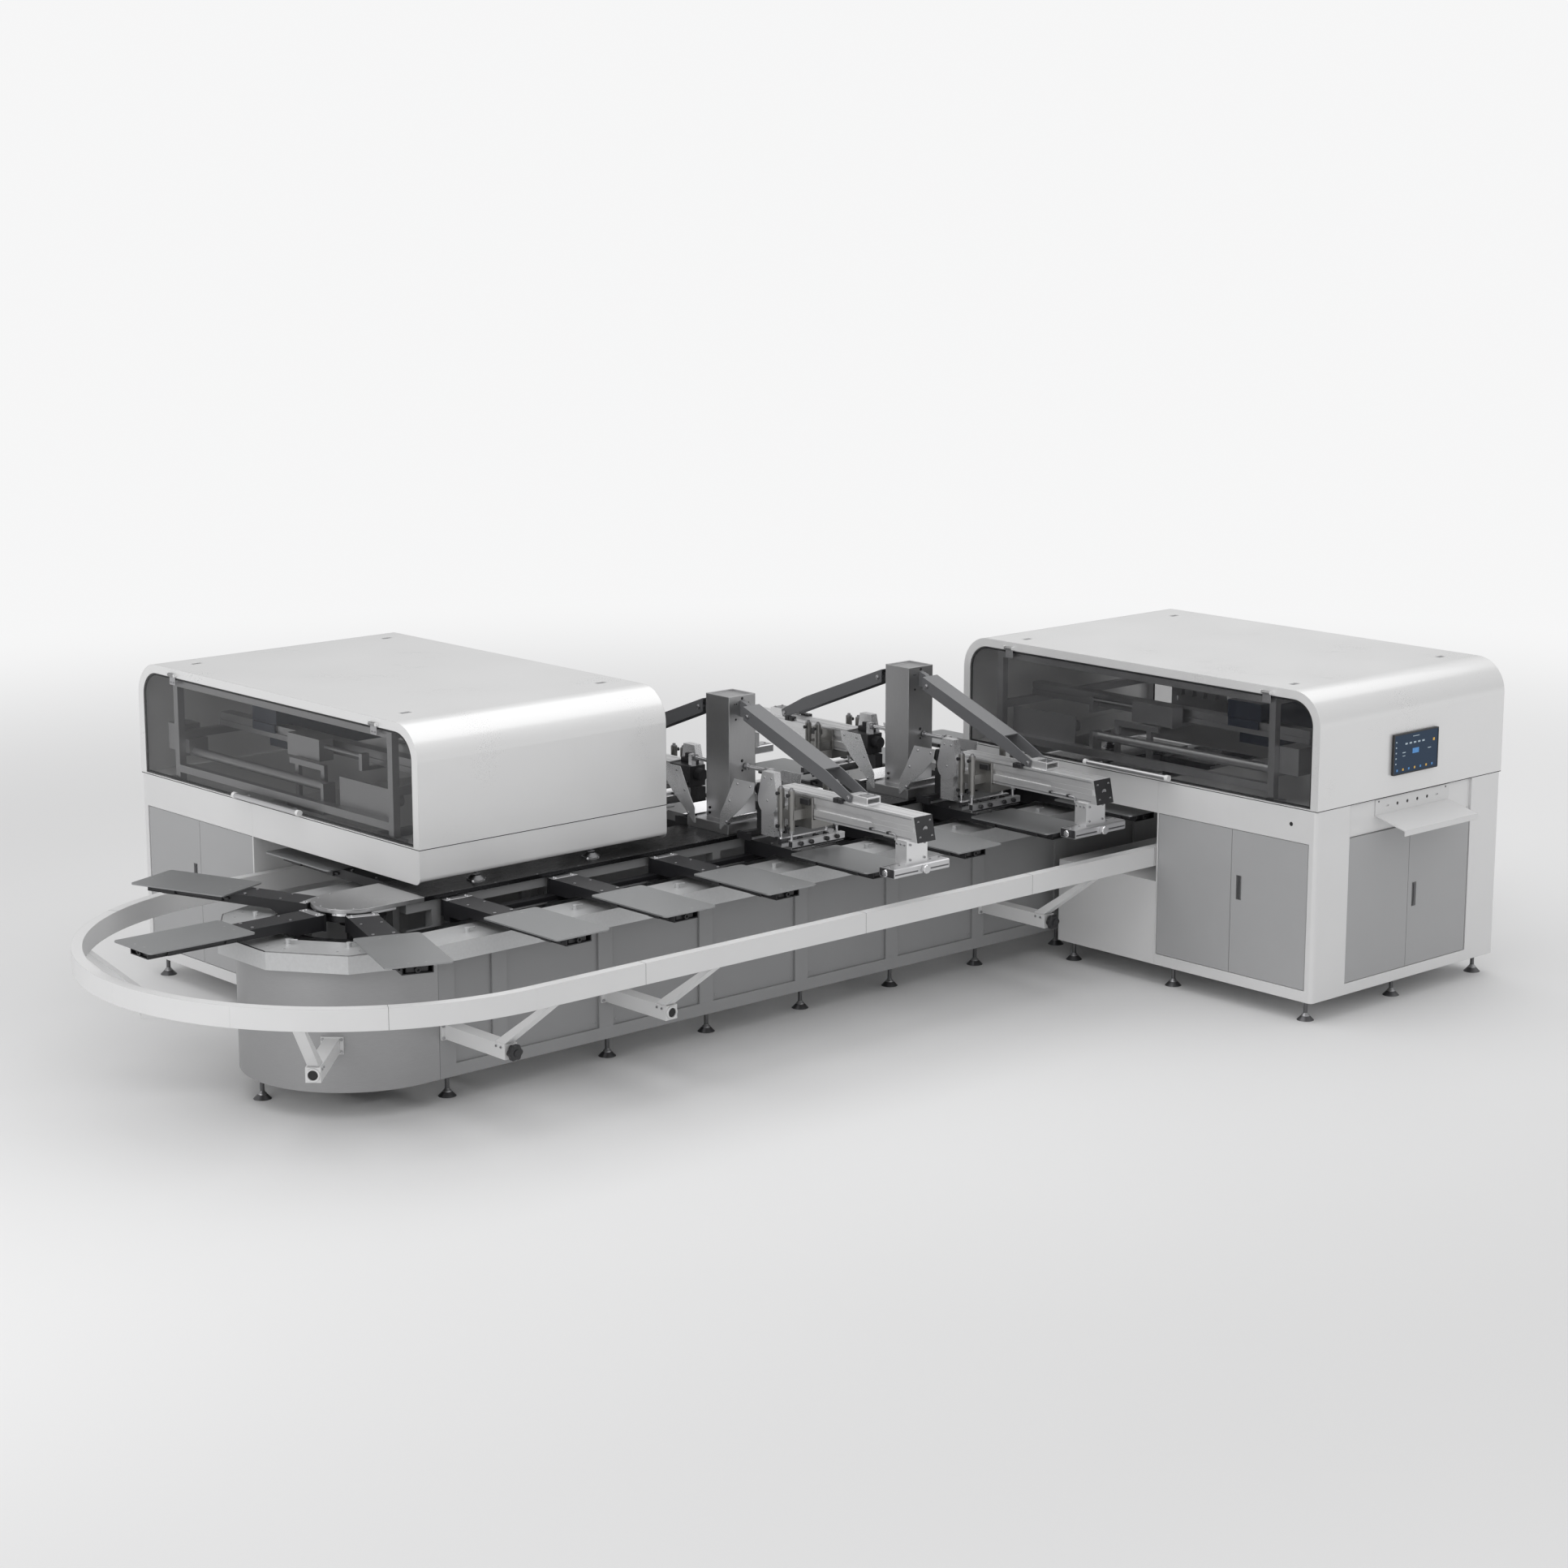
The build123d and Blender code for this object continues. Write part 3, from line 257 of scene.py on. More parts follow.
# mesh helpers
class Shape:
    def __init__(self):
        self.mesh = bmesh.new()
        self.place = Matrix.Identity(4)

    def at(self, x=0.0, y=0.0, z=0.0, turn=0.0, axis="Z"):
        self.place = Matrix.Translation((x, y, z)) @ Matrix.Rotation(math.radians(turn), 4, axis)
        return self

    def ring(self, points):
        return [self.mesh.verts.new(self.place @ Vector(p)) for p in points]

    def face(self, verts):
        try:
            return self.mesh.faces.new(verts)
        except ValueError:
            return None

    def loft(self, rings, closeEnds=True):
        made = [self.ring(r) for r in rings]
        count = len(made[0])
        for a, b in zip(made, made[1:]):
            for i in range(count):
                j = (i + 1) % count
                self.face((a[i], a[j], b[j], b[i]))
        if closeEnds:
            self.face(list(reversed(made[0])))
            self.face(made[-1])
        return self

    def block(self, low, high, edge=0.001):
        (x0, y0, z0), (x1, y1, z1) = low, high
        e = min(edge, (x1 - x0) / 3, (y1 - y0) / 3, (z1 - z0) / 3)

        def outline(inset, z):
            a, b, c, d = x0 + inset, x1 - inset, y0 + inset, y1 - inset
            k = e
            return [(a + k, c, z), (b - k, c, z), (b, c + k, z), (b, d - k, z), (b - k, d, z), (a + k, d, z),
                    (a, d - k, z), (a, c + k, z)]
        return self.loft([outline(e, z0), outline(0, z0 + e), outline(0, z1 - e), outline(e, z1)])

    def lathe(self, profile, sides=24, start=0.0):
        rings = []
        for r, z in profile:
            rings.append([(r * math.cos(start + 2 * math.pi * i / sides),
                           r * math.sin(start + 2 * math.pi * i / sides), z) for i in range(sides)])
        return self.loft(rings)

    def tube(self, path, radius, sides=12):
        points = [Vector(p) for p in path]
        rings = []
        side = None
        for i, p in enumerate(points):
            along = (points[min(i + 1, len(points) - 1)] - points[max(i - 1, 0)]).normalized()
            if side is None:
                side = along.orthogonal().normalized()
            side = (side - along * side.dot(along)).normalized()
            other = along.cross(side)
            rings.append([p + (side * math.cos(2 * math.pi * k / sides)
                               + other * math.sin(2 * math.pi * k / sides)) * radius for k in range(sides)])
        return self.loft(rings)

    def capScrew(self, radius, height):
        r, h = radius, height
        self.lathe([(r * 0.9, 0), (r, h * 0.15), (r, h * 0.8), (r * 0.88, h), (r * 0.5, h), (r * 0.46, h * 0.45)], 16)
        return self

    def roundHead(self, radius, height):
        r, h = radius, height
        self.lathe([(r, 0), (r * 0.97, h * 0.4), (r * 0.78, h * 0.8), (r * 0.45, h), (r * 0.3, h * 0.95)], 16)
        return self

    def hexNut(self, radius, height):
        self.lathe([(radius * 0.92, 0), (radius, height * 0.15), (radius, height * 0.85), (radius * 0.92, height)], 6)
        return self


def turnedCopy(shape):
    copy = shape.mesh.copy()
    copy.transform(halfTurn)
    out = Shape()
    out.mesh = copy
    return out


def piece(name, shape, finish, body="machine_frame", smooth=28.0, both=False):
    if both:
        turned = turnedCopy(shape)
        data = bpy.data.meshes.new("turned")
        turned.mesh.to_mesh(data)
        shape.mesh.from_mesh(data)
        turned.mesh.free()
    bmesh.ops.recalc_face_normals(shape.mesh, faces=shape.mesh.faces)
    data = bpy.data.meshes.new(name)
    shape.mesh.to_mesh(data)
    shape.mesh.free()
    data.materials.append(finishes[finish].material)
    obj = bpy.data.objects.new(name, data)
    bpy.context.scene.collection.objects.link(obj)
    for polygon in data.polygons:
        polygon.use_smooth = True
    data.set_sharp_from_angle(angle=math.radians(smooth))
    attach(obj, body)
    return obj


def facing(shape, x, y, z, direction):
    turns = {"-Y": (90, "X"), "+Y": (-90, "X"), "+X": (90, "Y"), "-X": (-90, "Y"), "+Z": (0, "Z"), "-Z": (180, "X")}
    angle, axis = turns[direction]
    return shape.at(x, y, z, angle, axis)


# pallets and arms
pallets = {"pitch": 0.727, "straight": 9, "endX": 3.427, "endStep": 70.0, "ends": 3, "inner": 0.710, "length": 0.632,
           "top": 1.006}


def straightPlaces(side):
    turn = 0.0 if side > 0 else 180.0
    half = (pallets["straight"] - 1) / 2
    return [((i - half) * pallets["pitch"], 0.0, turn) for i in range(pallets["straight"])]


def endPlaces(end):
    half = (pallets["ends"] - 1) / 2
    return [(end * pallets["endX"], 0.0, -90.0 * end + (i - half) * pallets["endStep"])
            for i in range(pallets["ends"])]


runs = {"near": (straightPlaces(-1), "near_run"), "far": (straightPlaces(1), "far_run"),
        "left_end": (endPlaces(-1), "left_turn"), "right_end": (endPlaces(1), "right_turn")}


def palletScrews(places):
    s = Shape()
    for x, y, turn in places:
        base = Matrix.Translation((x, y, 0)) @ Matrix.Rotation(math.radians(turn), 4, "Z")
        for px in (-0.045, 0.045):
            for py in (0.05, pallets["length"] - 0.05):
                s.place = base @ Matrix.Translation((px, pallets["inner"] + py, pallets["top"] - 0.0004))
                s.roundHead(0.007, 0.0016)
    return s


def armParts(places):
    s = Shape()
    for x, y, turn in places:
        base = Matrix.Translation((x, y, 0)) @ Matrix.Rotation(math.radians(turn), 4, "Z")
        s.place = base
        for side in (-1, 1):
            a, b = sorted((side * 0.083, side * 0.0925))
            s.block((a, 0.74, 0.962), (b, 1.26, 0.976), 0.002)      # side strip under the pallet
            a, b = sorted((side * 0.083, side * 0.101))
            s.block((a, 1.10, 0.950), (b, 1.19, 0.997), 0.003)      # cam block
            s.block((a, 0.78, 0.950), (b, 0.84, 0.997), 0.003)
        s.block((-0.060, 1.20, 0.952), (0.060, 1.285, 0.990), 0.004)  # lock block in the open end
        s.place = base @ Matrix.Translation((0, 1.285, 0.970)) @ Matrix.Rotation(math.radians(-90), 4, "X")
        s.capScrew(0.016, 0.018)
    return s


def armBrackets(places):
    s = Shape()
    for x, y, turn in places:
        base = Matrix.Translation((x, y, 0)) @ Matrix.Rotation(math.radians(turn), 4, "Z")
        s.place = base
        s.block((-0.086, 0.2285, 0.998), (0.086, 0.272, 1.0015), 0.001)   # foot of the angle plate
        for px in (-0.06, 0.06):
            for py in (0.242, 0.26):
                s.place = base @ Matrix.Translation((px, py, 1.0012))
                s.capScrew(0.0055, 0.0045)
    return s


def armClamps(places):
    s = Shape()
    for x, y, turn in places:
        base = Matrix.Translation((x, y, 0)) @ Matrix.Rotation(math.radians(turn), 4, "Z")
        for px in (-0.055, 0.055):
            s.place = base @ Matrix.Translation((px, 0.655, 0.9978))
            s.capScrew(0.009, 0.006)
            s.place = base @ Matrix.Translation((px, 0.42, 0.9978))
            s.capScrew(0.007, 0.005)
    return s


for name, (places, body) in runs.items():
    piece(f"{name}PalletScrews", palletScrews(places), "boltSteel", body)
    piece(f"{name}ArmBlocks", armParts(places), "plasticBlack", body)
    piece(f"{name}ArmAngles", armBrackets(places), "barAlu", body)
    piece(f"{name}ArmBolts", armClamps(places), "boltSteel", body)
print("stage: pallets and arms")


# hoods, windows and cabinets
module = {"x0": 1.298, "x1": 3.037, "y0": -2.731, "y1": 0.092, "top": 1.929, "seam": 1.250, "radius": 0.200,
          "border": 0.053, "cabinetInner": -1.535, "sideX0": 1.600, "sideX1": 2.750}


def archPath(inset, low, steps=10):
    y0, y1, top = module["y0"] + inset, module["y1"] - inset, module["top"] - inset
    r = module["radius"] - inset
    path = [(y0, low)]
    for i in range(steps + 1):
        a = math.pi - i * math.pi / 2 / steps
        path.append((y0 + r + r * math.cos(a), top - r + r * math.sin(a)))
    for i in range(steps + 1):
        a = math.pi / 2 - i * math.pi / 2 / steps
        path.append((y1 - r + r * math.cos(a), top - r + r * math.sin(a)))
    path.append((y1, low))
    return path


def archBand(s, insetA, insetB, low, xa, xb):
    outer, inner = archPath(insetA, low), archPath(insetB, low)
    rings = []
    for (ya, za), (yb, zb) in zip(outer, inner):
        rings.append([(xa, ya, za), (xb, ya, za), (xb, yb, zb), (xa, yb, zb)])
    return s.loft(rings)


for label, x, out in (("inner", module["x0"] + 0.0075, 1), ("outer", module["x1"] - 0.0075, -1)):
    for side, both in (("right", False), ("left", True)):
        s = Shape()
        edge = module["border"] + 0.003
        archBand(s, edge, edge + 0.010, module["seam"] + 0.012, x, x + 0.004 * out)
        low = module["seam"] + 0.0115
        a, b = sorted((x, x + 0.004 * out))
        s.block((a, module["y0"] + edge, low), (b, module["y1"] - edge, low + 0.012), 0.001)
        if both:
            s = turnedCopy(s)
        piece(f"{side}{label.title()}WindowSeal", s, "rubberBlack", f"{side}_{label}_window")


def roofClips():
    s = Shape()
    for x in (1.462, 2.834):
        for y in (-2.403, -0.293):
            s.at(x, y, 1.9258)
            s.block((-0.031, -0.017, 0), (0.031, 0.017, 0.0016), 0.0005)
            for dx in (-0.016, 0.016):
                s.at(x + dx, y, 1.9272)
                s.block((-0.009, -0.011, 0), (0.009, 0.011, 0.0014), 0.0005)
    return s


# flat black disc on the skirt face: painted shade standing in for the dark inside of a hole
def skirtHoleShade():
    s = Shape()
    facing(s, module["x0"] + 0.0004, -2.545, 1.154, "-X")
    s.lathe([(0.0125, 0), (0.0125, 0.0006), (0.0085, 0.0009)], 24)
    return s


def pullBar(s, x):
    mid = (module["y0"] + module["y1"]) / 2
    s.at().tube([(x, mid - 0.331, 1.287), (x, mid - 0.329, 1.287), (x, mid + 0.329, 1.287), (x, mid + 0.331, 1.287)],
                0.0156, 24)
    for dy in (-0.238, 0.238):
        s.at().tube([(x, mid + dy, 1.287), (x + 0.0425, mid + dy, 1.287)], 0.0117, 20)
    return s


def pullBarEnds(s, x):
    mid = (module["y0"] + module["y1"]) / 2
    for dy in (-0.325, 0.325):
        s.at().tube([(x, mid + dy - 0.012, 1.287), (x, mid + dy - 0.010, 1.287), (x, mid + dy + 0.010, 1.287),
                     (x, mid + dy + 0.012, 1.287)], 0.0185, 24)
    return s


def windowTabs(s, x):
    for y in (module["y0"] + 0.392, module["y1"] - 0.392):
        s.at().block((x - 0.0058, y - 0.0296, 1.8326), (x - 0.0002, y + 0.0296, 1.8880), 0.0012)
        for dy in (-0.014, 0.014):
            facing(s, x - 0.0056, y + dy, 1.848, "-X")
            s.capScrew(0.005, 0.004)
    return s


def windowPiece(name, draw, finish, x):
    for label in ("inner", "outer"):
        for side in ("right", "left"):
            s = draw(Shape(), x)
            if label == "outer":
                middle = (module["x0"] + module["x1"]) / 2
                s.mesh.transform(Matrix.Translation((middle, 0, 0)) @ Matrix.Scale(-1, 4, (1, 0, 0))
                                 @ Matrix.Translation((-middle, 0, 0)))
            if side == "left":
                s = turnedCopy(s)
            piece(f"{side}{label.title()}{name}", s, finish, f"{side}_{label}_window")


windowPiece("PullBar", pullBar, "barAlu", module["x0"] - 0.044)
windowPiece("PullBarEnds", pullBarEnds, "plasticWhite", module["x0"] - 0.044)
windowPiece("HingeTabs", windowTabs, "boltSteel", module["x0"])
piece("roofClips", roofClips(), "boltSteel", both=True)
piece("skirtHoleShades", skirtHoleShade(), "rubberBlack", both=True)


def seamLine():
    s = Shape()
    x0, x1, y0, y1, z = module["x0"], module["x1"], module["y0"], module["y1"], module["seam"]
    w, p = 0.0022, 0.0004
    s.block((x0 - p, y0 - p, z - w), (x1 + p, y0 + 0.004, z + w), 0.0002)
    s.block((x0 - p, y1 - 0.004, z - w), (x1 + p, y1 + p, z + w), 0.0002)
    for a, b in ((x0 - p, x0 + 0.004), (x1 - 0.004, x1 + p)):
        s.block((a, y0 + 0.004, z - w), (b, y1 - 0.004, z + w), 0.0002)
    return s


piece("hoodSeams", seamLine(), "rubberBlack", both=True)


def doorSeals():
    s = Shape()
    x0, x1, y0 = module["x0"], module["x1"], module["y0"]
    z0, z1 = 0.1905, 1.0535
    for x, out in ((x0, 1), (x1, -1)):
        a, b = sorted((x + 0.0225 * out, x + 0.0238 * out))
        s.block((a, y0 + 0.0545, z0), (b, module["cabinetInner"] - 0.0105, z0 + 0.026), 0.0003)
        s.block((a, y0 + 0.0545, z1 - 0.026), (b, module["cabinetInner"] - 0.0105, z1), 0.0003)
        s.block((a, -2.125, z0), (b, -2.097, z1), 0.0003)
    s.block((module["sideX0"] + 0.0005, y0 + 0.0225, z0),
            (module["sideX1"] - 0.0005, y0 + 0.0238, z0 + 0.026), 0.0003)
    s.block((2.156, y0 + 0.0225, z0), (2.182, y0 + 0.0238, z1), 0.0003)
    return s


def doorHandle(s):
    s.block((-0.011, -0.0715, -0.001), (0.011, 0.0715, 0.0015), 0.0008)
    s.block((-0.0065, -0.062, 0.0015), (0.0065, 0.062, 0.0045), 0.0012)
    return s


handlePlaces = {"inner": (1.298 + 0.0012, -2.1705, 0.7115, "Y", -90),
                "outer": (3.037 - 0.0012, -2.1705, 0.7115, "Y", 90),
                "side": (2.2285, -2.731 + 0.0012, 0.6225, "X", 90)}
for label, (x, y, z, axis, angle) in handlePlaces.items():
    for side in ("right", "left"):
        s = Shape()
        turn = Matrix.Rotation(math.radians(angle), 4, axis)
        if axis == "Y":                     # upright handle on an end face: its length runs up Z
            turn = turn @ Matrix.Rotation(math.radians(90), 4, "Z")
        s.place = Matrix.Translation((x, y, z)) @ turn
        doorHandle(s)
        if side == "left":
            s = turnedCopy(s)
        piece(f"{side}{label.title()}DoorHandle", s, "steelDark", f"{side}_{label}_door")

piece("doorBackSeals", doorSeals(), "rubberBlack", both=True)


def screenParts():
    s = Shape()
    y = module["y0"]
    s.block((1.9665, y - 0.0166, 1.3775), (2.3725, y - 0.0157, 1.6035), 0.0003)
    return s


piece("screenGlass", screenParts(), "screenFace", both=True)


screenMarks = {
    "markBlue": [(0.030 + i * 0.055, 0.020, 0.013, 0.013) for i in range(0, 7, 2)] + [(0.200, 0.120, 0.060, 0.030)],
    "markPale": [(0.016, 0.060 + i * 0.032, 0.010, 0.008) for i in range(5)]
    + [(0.110 + i * 0.040, 0.170, 0.022, 0.010) for i in range(5)] + [(0.200, 0.207, 0.060, 0.004)]
    + [(0.090, 0.120, 0.030, 0.005), (0.090, 0.100, 0.024, 0.004), (0.330, 0.120, 0.030, 0.005)],
    "markAmber": [(0.085 + i * 0.110, 0.020, 0.013, 0.013) for i in range(3)] + [(0.370, 0.165, 0.016, 0.016)],
}


def screenMark(spots):
    s = Shape()
    y = module["y0"] - 0.0169
    for x, z, w, h in spots:
        s.block((1.9665 + x - w / 2, y, 1.3775 + z - h / 2), (1.9665 + x + w / 2, y + 0.0006, 1.3775 + z + h / 2),
                0.0002)
    return s


for finish, spots in screenMarks.items():
    piece("screen" + finish[4:] + "Marks", screenMark(spots), finish, both=True)


def shelfButtons():
    s = Shape()
    y = module["y0"] + 0.0105
    for x, z, r in ((1.872, 1.229, 0.006), (2.505, 1.229, 0.006)):
        facing(s, x, y, z, "-Y")
        s.roundHead(r, 0.003)
    return s


piece("shelfRivets", shelfButtons(), "steelDark", both=True)


# black discs set behind the shelf holes: painted shade for the dark seen through them
def shelfHoleShades():
    s = Shape()
    y = module["y0"] + 0.0148
    for i in range(4):
        facing(s, 2.049 + i * 0.0937, y, 1.195, "-Y")
        s.lathe([(0.0115, -0.0010), (0.0115, 0.0008), (0.009, 0.0010)], 20)
    return s


piece("shelfHoleShadeBacks", shelfHoleShades(), "rubberBlack", both=True)
print("stage: modules")


# masts and heads
heads = {"mastX": 0.727, "mastHalf": 0.1015, "beamHalf": 0.068, "outer": 1.600, "rake": 0.030, "low": 1.208,
         "high": 1.348}


def onNearHeads(draw, shape):
    for x in (-heads["mastX"], heads["mastX"]):
        draw(shape, x)
    return shape


def mastBolts(s, x):
    for side in (-1, 1):
        for z in (1.110, 1.140):
            for dy in (-0.07, 0.07):
                facing(s, x + side * heads["mastHalf"], dy, z, "+X" if side > 0 else "-X")
                s.capScrew(0.008, 0.007)
    for dx in (-0.15, 0.15):
        for dy in (-0.15, 0.15):
            s.at(x + dx, dy, 1.0848)
            s.capScrew(0.011, 0.009)


# flat black discs on the mast face: painted shade standing in for the dark inside of holes
def mastHoles(s, x):
    face = heads["mastHalf"] - 0.0003
    spots = [(dx, 1.771, 0.0042) for dx in (-0.058, -0.044, 0.036, 0.050)]
    spots += [(-0.049, 1.680, 0.0070), (0.0, 1.800, 0.0090), (0.000, 1.372, 0.0075), (-0.002, 1.430, 0.010)]
    for dx, z, r in spots:
        facing(s, x + dx, -face, z, "-Y")
        s.lathe([(r, 0), (r, 0.0008), (r * 0.7, 0.0011)], 18)


def strutPins(s, x):
    for y, z in ((-0.215, 1.716), (-1.070, 1.372)):
        for side in (-1, 1):
            facing(s, x + side * 0.0618, y, z, "+X" if side > 0 else "-X")
            s.lathe([(0.016, 0), (0.016, 0.002), (0.011, 0.003), (0.011, 0.007), (0.008, 0.009)], 24)


def beamTrim(s, x):
    half = heads["beamHalf"]
    for side in (-1, 1):                   # two raised rails along the groove and a T-slot line on top
        a, b = sorted((x + side * half, x + side * (half + 0.0012)))
        for z in (1.222, 1.334):
            s.at().block((a, -1.585, z - 0.004), (b, -0.49, z + 0.004), 0.0004)
    for dx in (-0.034, 0.034):
        s.at().block((x + dx - 0.004, -1.585, 1.3475), (x + dx + 0.004, -1.212, 1.3487), 0.0004)
        s.at().block((x + dx - 0.004, -1.051, 1.3475), (x + dx + 0.004, -0.49, 1.3487), 0.0004)


def beamRods(s, x):
    for side in (-1, 1):
        out = x + side * 0.080
        s.at().tube([(out, -1.260, 1.232), (out, -1.455, 1.232), (out, -1.463, 1.229), (out, -1.466, 1.222),
                     (out, -1.466, 1.200)], 0.0045, 12)


def rodHolders(s, x):
    for side in (-1, 1):
        a, b = sorted((x + side * 0.0675, x + side * 0.086))
        for y in (-1.272, -1.410):
            s.at().block((a, y - 0.010, 1.224), (b, y + 0.010, 1.240), 0.002)
        a, b = sorted((x + side * 0.050, x + side * 0.088))
        for y in (-1.022, -0.985):
            s.at().block((a, y - 0.016, 1.334), (b, y + 0.016, 1.362), 0.002)     # switch block


def grooveCovers(s, x):
    for side in (-1, 1):
        a, b = sorted((x + side * 0.0585, x + side * 0.0678))
        s.at().block((a, -1.596, 1.2622), (b, -1.262, 1.2938), 0.0006)


def endHoles(s, x):
    tilt = math.atan2(heads["rake"], heads["high"] - heads["low"])
    for dx, t in ((-0.045, 0.20), (0.045, 0.20), (-0.045, 0.80), (0.045, 0.80), (0.0, 0.50)):
        z = heads["high"] - t * (heads["high"] - heads["low"])
        y = -heads["outer"] - heads["rake"] * t - 0.0058
        s.place = (Matrix.Translation((x + dx, y, z)) @ Matrix.Rotation(math.radians(90) + tilt * 0.9, 4, "X"))
        r = 0.017 if dx == 0 else 0.0075
        s.lathe([(r, -0.001), (r, 0.0012), (r * 0.8, 0.0018), (r * 0.6, 0.0006)], 18)


def clevisParts(s, x):
    s.at().block((x - 0.040, -1.205, 1.3905), (x + 0.040, -1.120, 1.3925), 0.0008)
    for dx in (-0.03, 0.03):
        for y in (-1.19, -1.135):
            s.at(x + dx, y, 1.3922)
            s.capScrew(0.0065, 0.006)


def footParts(s, x):
    for side in (-1, 1):
        for y in (-1.545, -1.515, -1.485):
            facing(s, x + side * 0.080, y, 1.185, "+X" if side > 0 else "-X")
            s.capScrew(0.0065, 0.006)
    for dx in (-0.055, 0.055):
        for z in (1.10, 1.185):
            facing(s, x + dx, -1.5598, z, "-Y")
            s.capScrew(0.007, 0.007)
    for dx in (-0.19, -0.12, 0.12, 0.19):
        s.at(x + dx, -1.54, 1.0748)
        s.capScrew(0.007, 0.006)


def starKnob(s, radius, height, lobes=6):
    sides = lobes * 8

    def outline(scale, z):
        points = []
        for i in range(sides):
            a = 2 * math.pi * i / sides
            r = radius * scale * (1 - 0.16 * (0.5 - 0.5 * math.cos(lobes * a)))
            points.append((r * math.cos(a), r * math.sin(a), z))
        return points
    s.loft([outline(0.86, 0), outline(1.0, height * 0.2), outline(1.0, height * 0.8), outline(0.85, height)])
    s.lathe([(radius * 0.42, height * 0.99), (radius * 0.40, height * 1.12), (radius * 0.25, height * 1.16)], 20)
    return s


def clampKnobs(s, x):
    facing(s, x + 0.017, -1.604, 1.047, "-Y")
    s.lathe([(0.0235, 0), (0.025, 0.003), (0.025, 0.017), (0.022, 0.022), (0.012, 0.0235)], 28)
    for side in (-1, 1):
        facing(s, x + side * 0.213, -1.54, 1.0485, "+X" if side > 0 else "-X")
        starKnob(s, 0.021, 0.018)


def clampEnds(s, x):
    for side in (-1, 1):
        a, b = sorted((x + side * 0.2125, x + side * 0.2165))
        s.at().block((a, -1.596, 1.026), (b, -1.485, 1.071), 0.003)


# thin dark strips on the clamp faces: painted shade standing in for the dark inside of the slots
def clampSlots(s, x):
    s.at().block((x - 0.207, -1.6012, 1.038), (x - 0.030, -1.5995, 1.046), 0.0004)
    s.at().block((x + 0.060, -1.6012, 1.038), (x + 0.207, -1.5995, 1.046), 0.0004)
    s.at().block((x - 0.207, -1.505, 1.0745), (x + 0.207, -1.497, 1.0756), 0.0004)


def driveParts(s, x):
    facing(s, x, -0.300, 1.290, "+Y")
    for k in range(5):                     # cooling ribs around the motor
        s.lathe([(0.034, 0.004 + k * 0.009), (0.038, 0.005 + k * 0.009), (0.038, 0.009 + k * 0.009),
                 (0.034, 0.010 + k * 0.009)], 28)
    s.at().block((x - 0.045, -0.46, 1.3395), (x - 0.005, -0.335, 1.3705), 0.003)
    s.at().block((x - 0.040, -0.43, 1.370), (x - 0.012, -0.36, 1.398), 0.003)
    for y in (-0.44, -0.40, -0.36, -0.32):
        facing(s, x + 0.060, y, 1.240, "+X")
        s.lathe([(0.012, 0), (0.012, 0.012), (0.008, 0.014), (0.008, 0.024), (0.005, 0.025)], 14)


def guardScrews(s, x):
    for side in (-1, 1):
        for y, z in ((-0.17, 1.105), (-0.20, 1.235), (-0.27, 1.345), (-0.38, 1.345)):
            facing(s, x + side * 0.186, y, z, "+X" if side > 0 else "-X")
            s.roundHead(0.0075, 0.005)
    for y, z in ((-0.435, 1.400), (-0.492, 1.400), (-0.457, 1.268)):
        facing(s, x - 0.123, y, z, "-X")
        s.roundHead(0.0065, 0.004)


def shaftCollars(s, x):
    for y in (-0.115, -0.285):
        facing(s, x + 0.028, y, 1.395, "-Y")
        s.lathe([(0.016, -0.010), (0.021, -0.008), (0.021, 0.008), (0.016, 0.010)], 24)


for name, draw, finish in (
        ("mastBolts", mastBolts, "steelDark"), ("mastHoles", mastHoles, "rubberBlack"),
        ("strutPins", strutPins, "boltSteel"), ("beamRails", beamTrim, "barAlu"),
        ("beamRods", beamRods, "boltSteel"), ("grooveCovers", grooveCovers, "beamAlu"),
        ("beamRodHolders", rodHolders, "plasticBlack"),
        ("beamEndBolts", endHoles, "boltSteel"), ("clevisPlates", clevisParts, "boltSteel"),
        ("footBolts", footParts, "boltSteel"), ("clampKnobs", clampKnobs, "chrome"),
        ("clampEndPlates", clampEnds, "plasticBlack"), ("clampSlots", clampSlots, "steelDark"),
        ("driveFittings", driveParts, "plasticBlack"), ("guardScrews", guardScrews, "boltSteel"),
        ("shaftCollars", shaftCollars, "boltSteel")):
    piece(name, onNearHeads(draw, Shape()), finish, both=True)


def carriageParts(s, x, row):
    for side in (-1, 1):
        for y in row:
            s.at(x + side * 0.175, y, 1.3735)
            s.lathe([(0.016, 0), (0.016, 0.006), (0.010, 0.008), (0.010, 0.016), (0.006, 0.017)], 20)
            s.at(x + side * 0.175, y, 1.131)
            s.lathe([(0.012, -0.006), (0.019, -0.005), (0.0205, 0.004), (0.0205, 0.012)], 20)


def carriageBlack(s, x, row):
    for side in (-1, 1):
        for y in row:
            facing(s, x + side * 0.1945, y, 1.350, "+X" if side > 0 else "-X")
            s.lathe([(0.008, -0.002), (0.008, 0.008), (0.011, 0.009), (0.011, 0.016), (0.006, 0.017)], 16)
            facing(s, x + side * 0.1945, y, 1.160, "+X" if side > 0 else "-X")
            s.lathe([(0.008, -0.002), (0.008, 0.008), (0.011, 0.009), (0.011, 0.016), (0.006, 0.017)], 16)
        a, b = sorted((x + side * 0.084, x + side * 0.099))
        s.at().block((a, -0.780, 1.285), (b, -0.705, 1.322), 0.003)


def bladeParts(s, x, y0, y1):
    for side in (-1, 1):
        for dx in (0.06, 0.14):
            facing(s, x + side * dx, y0, 1.070, "-Y")
            starKnob(s, 0.014, 0.016)
        a, b = sorted((x + side * 0.2025, x + side * 0.2055))
        s.at().block((a, y0 + 0.002, 1.054), (b, y1 - 0.002, 1.086), 0.002)


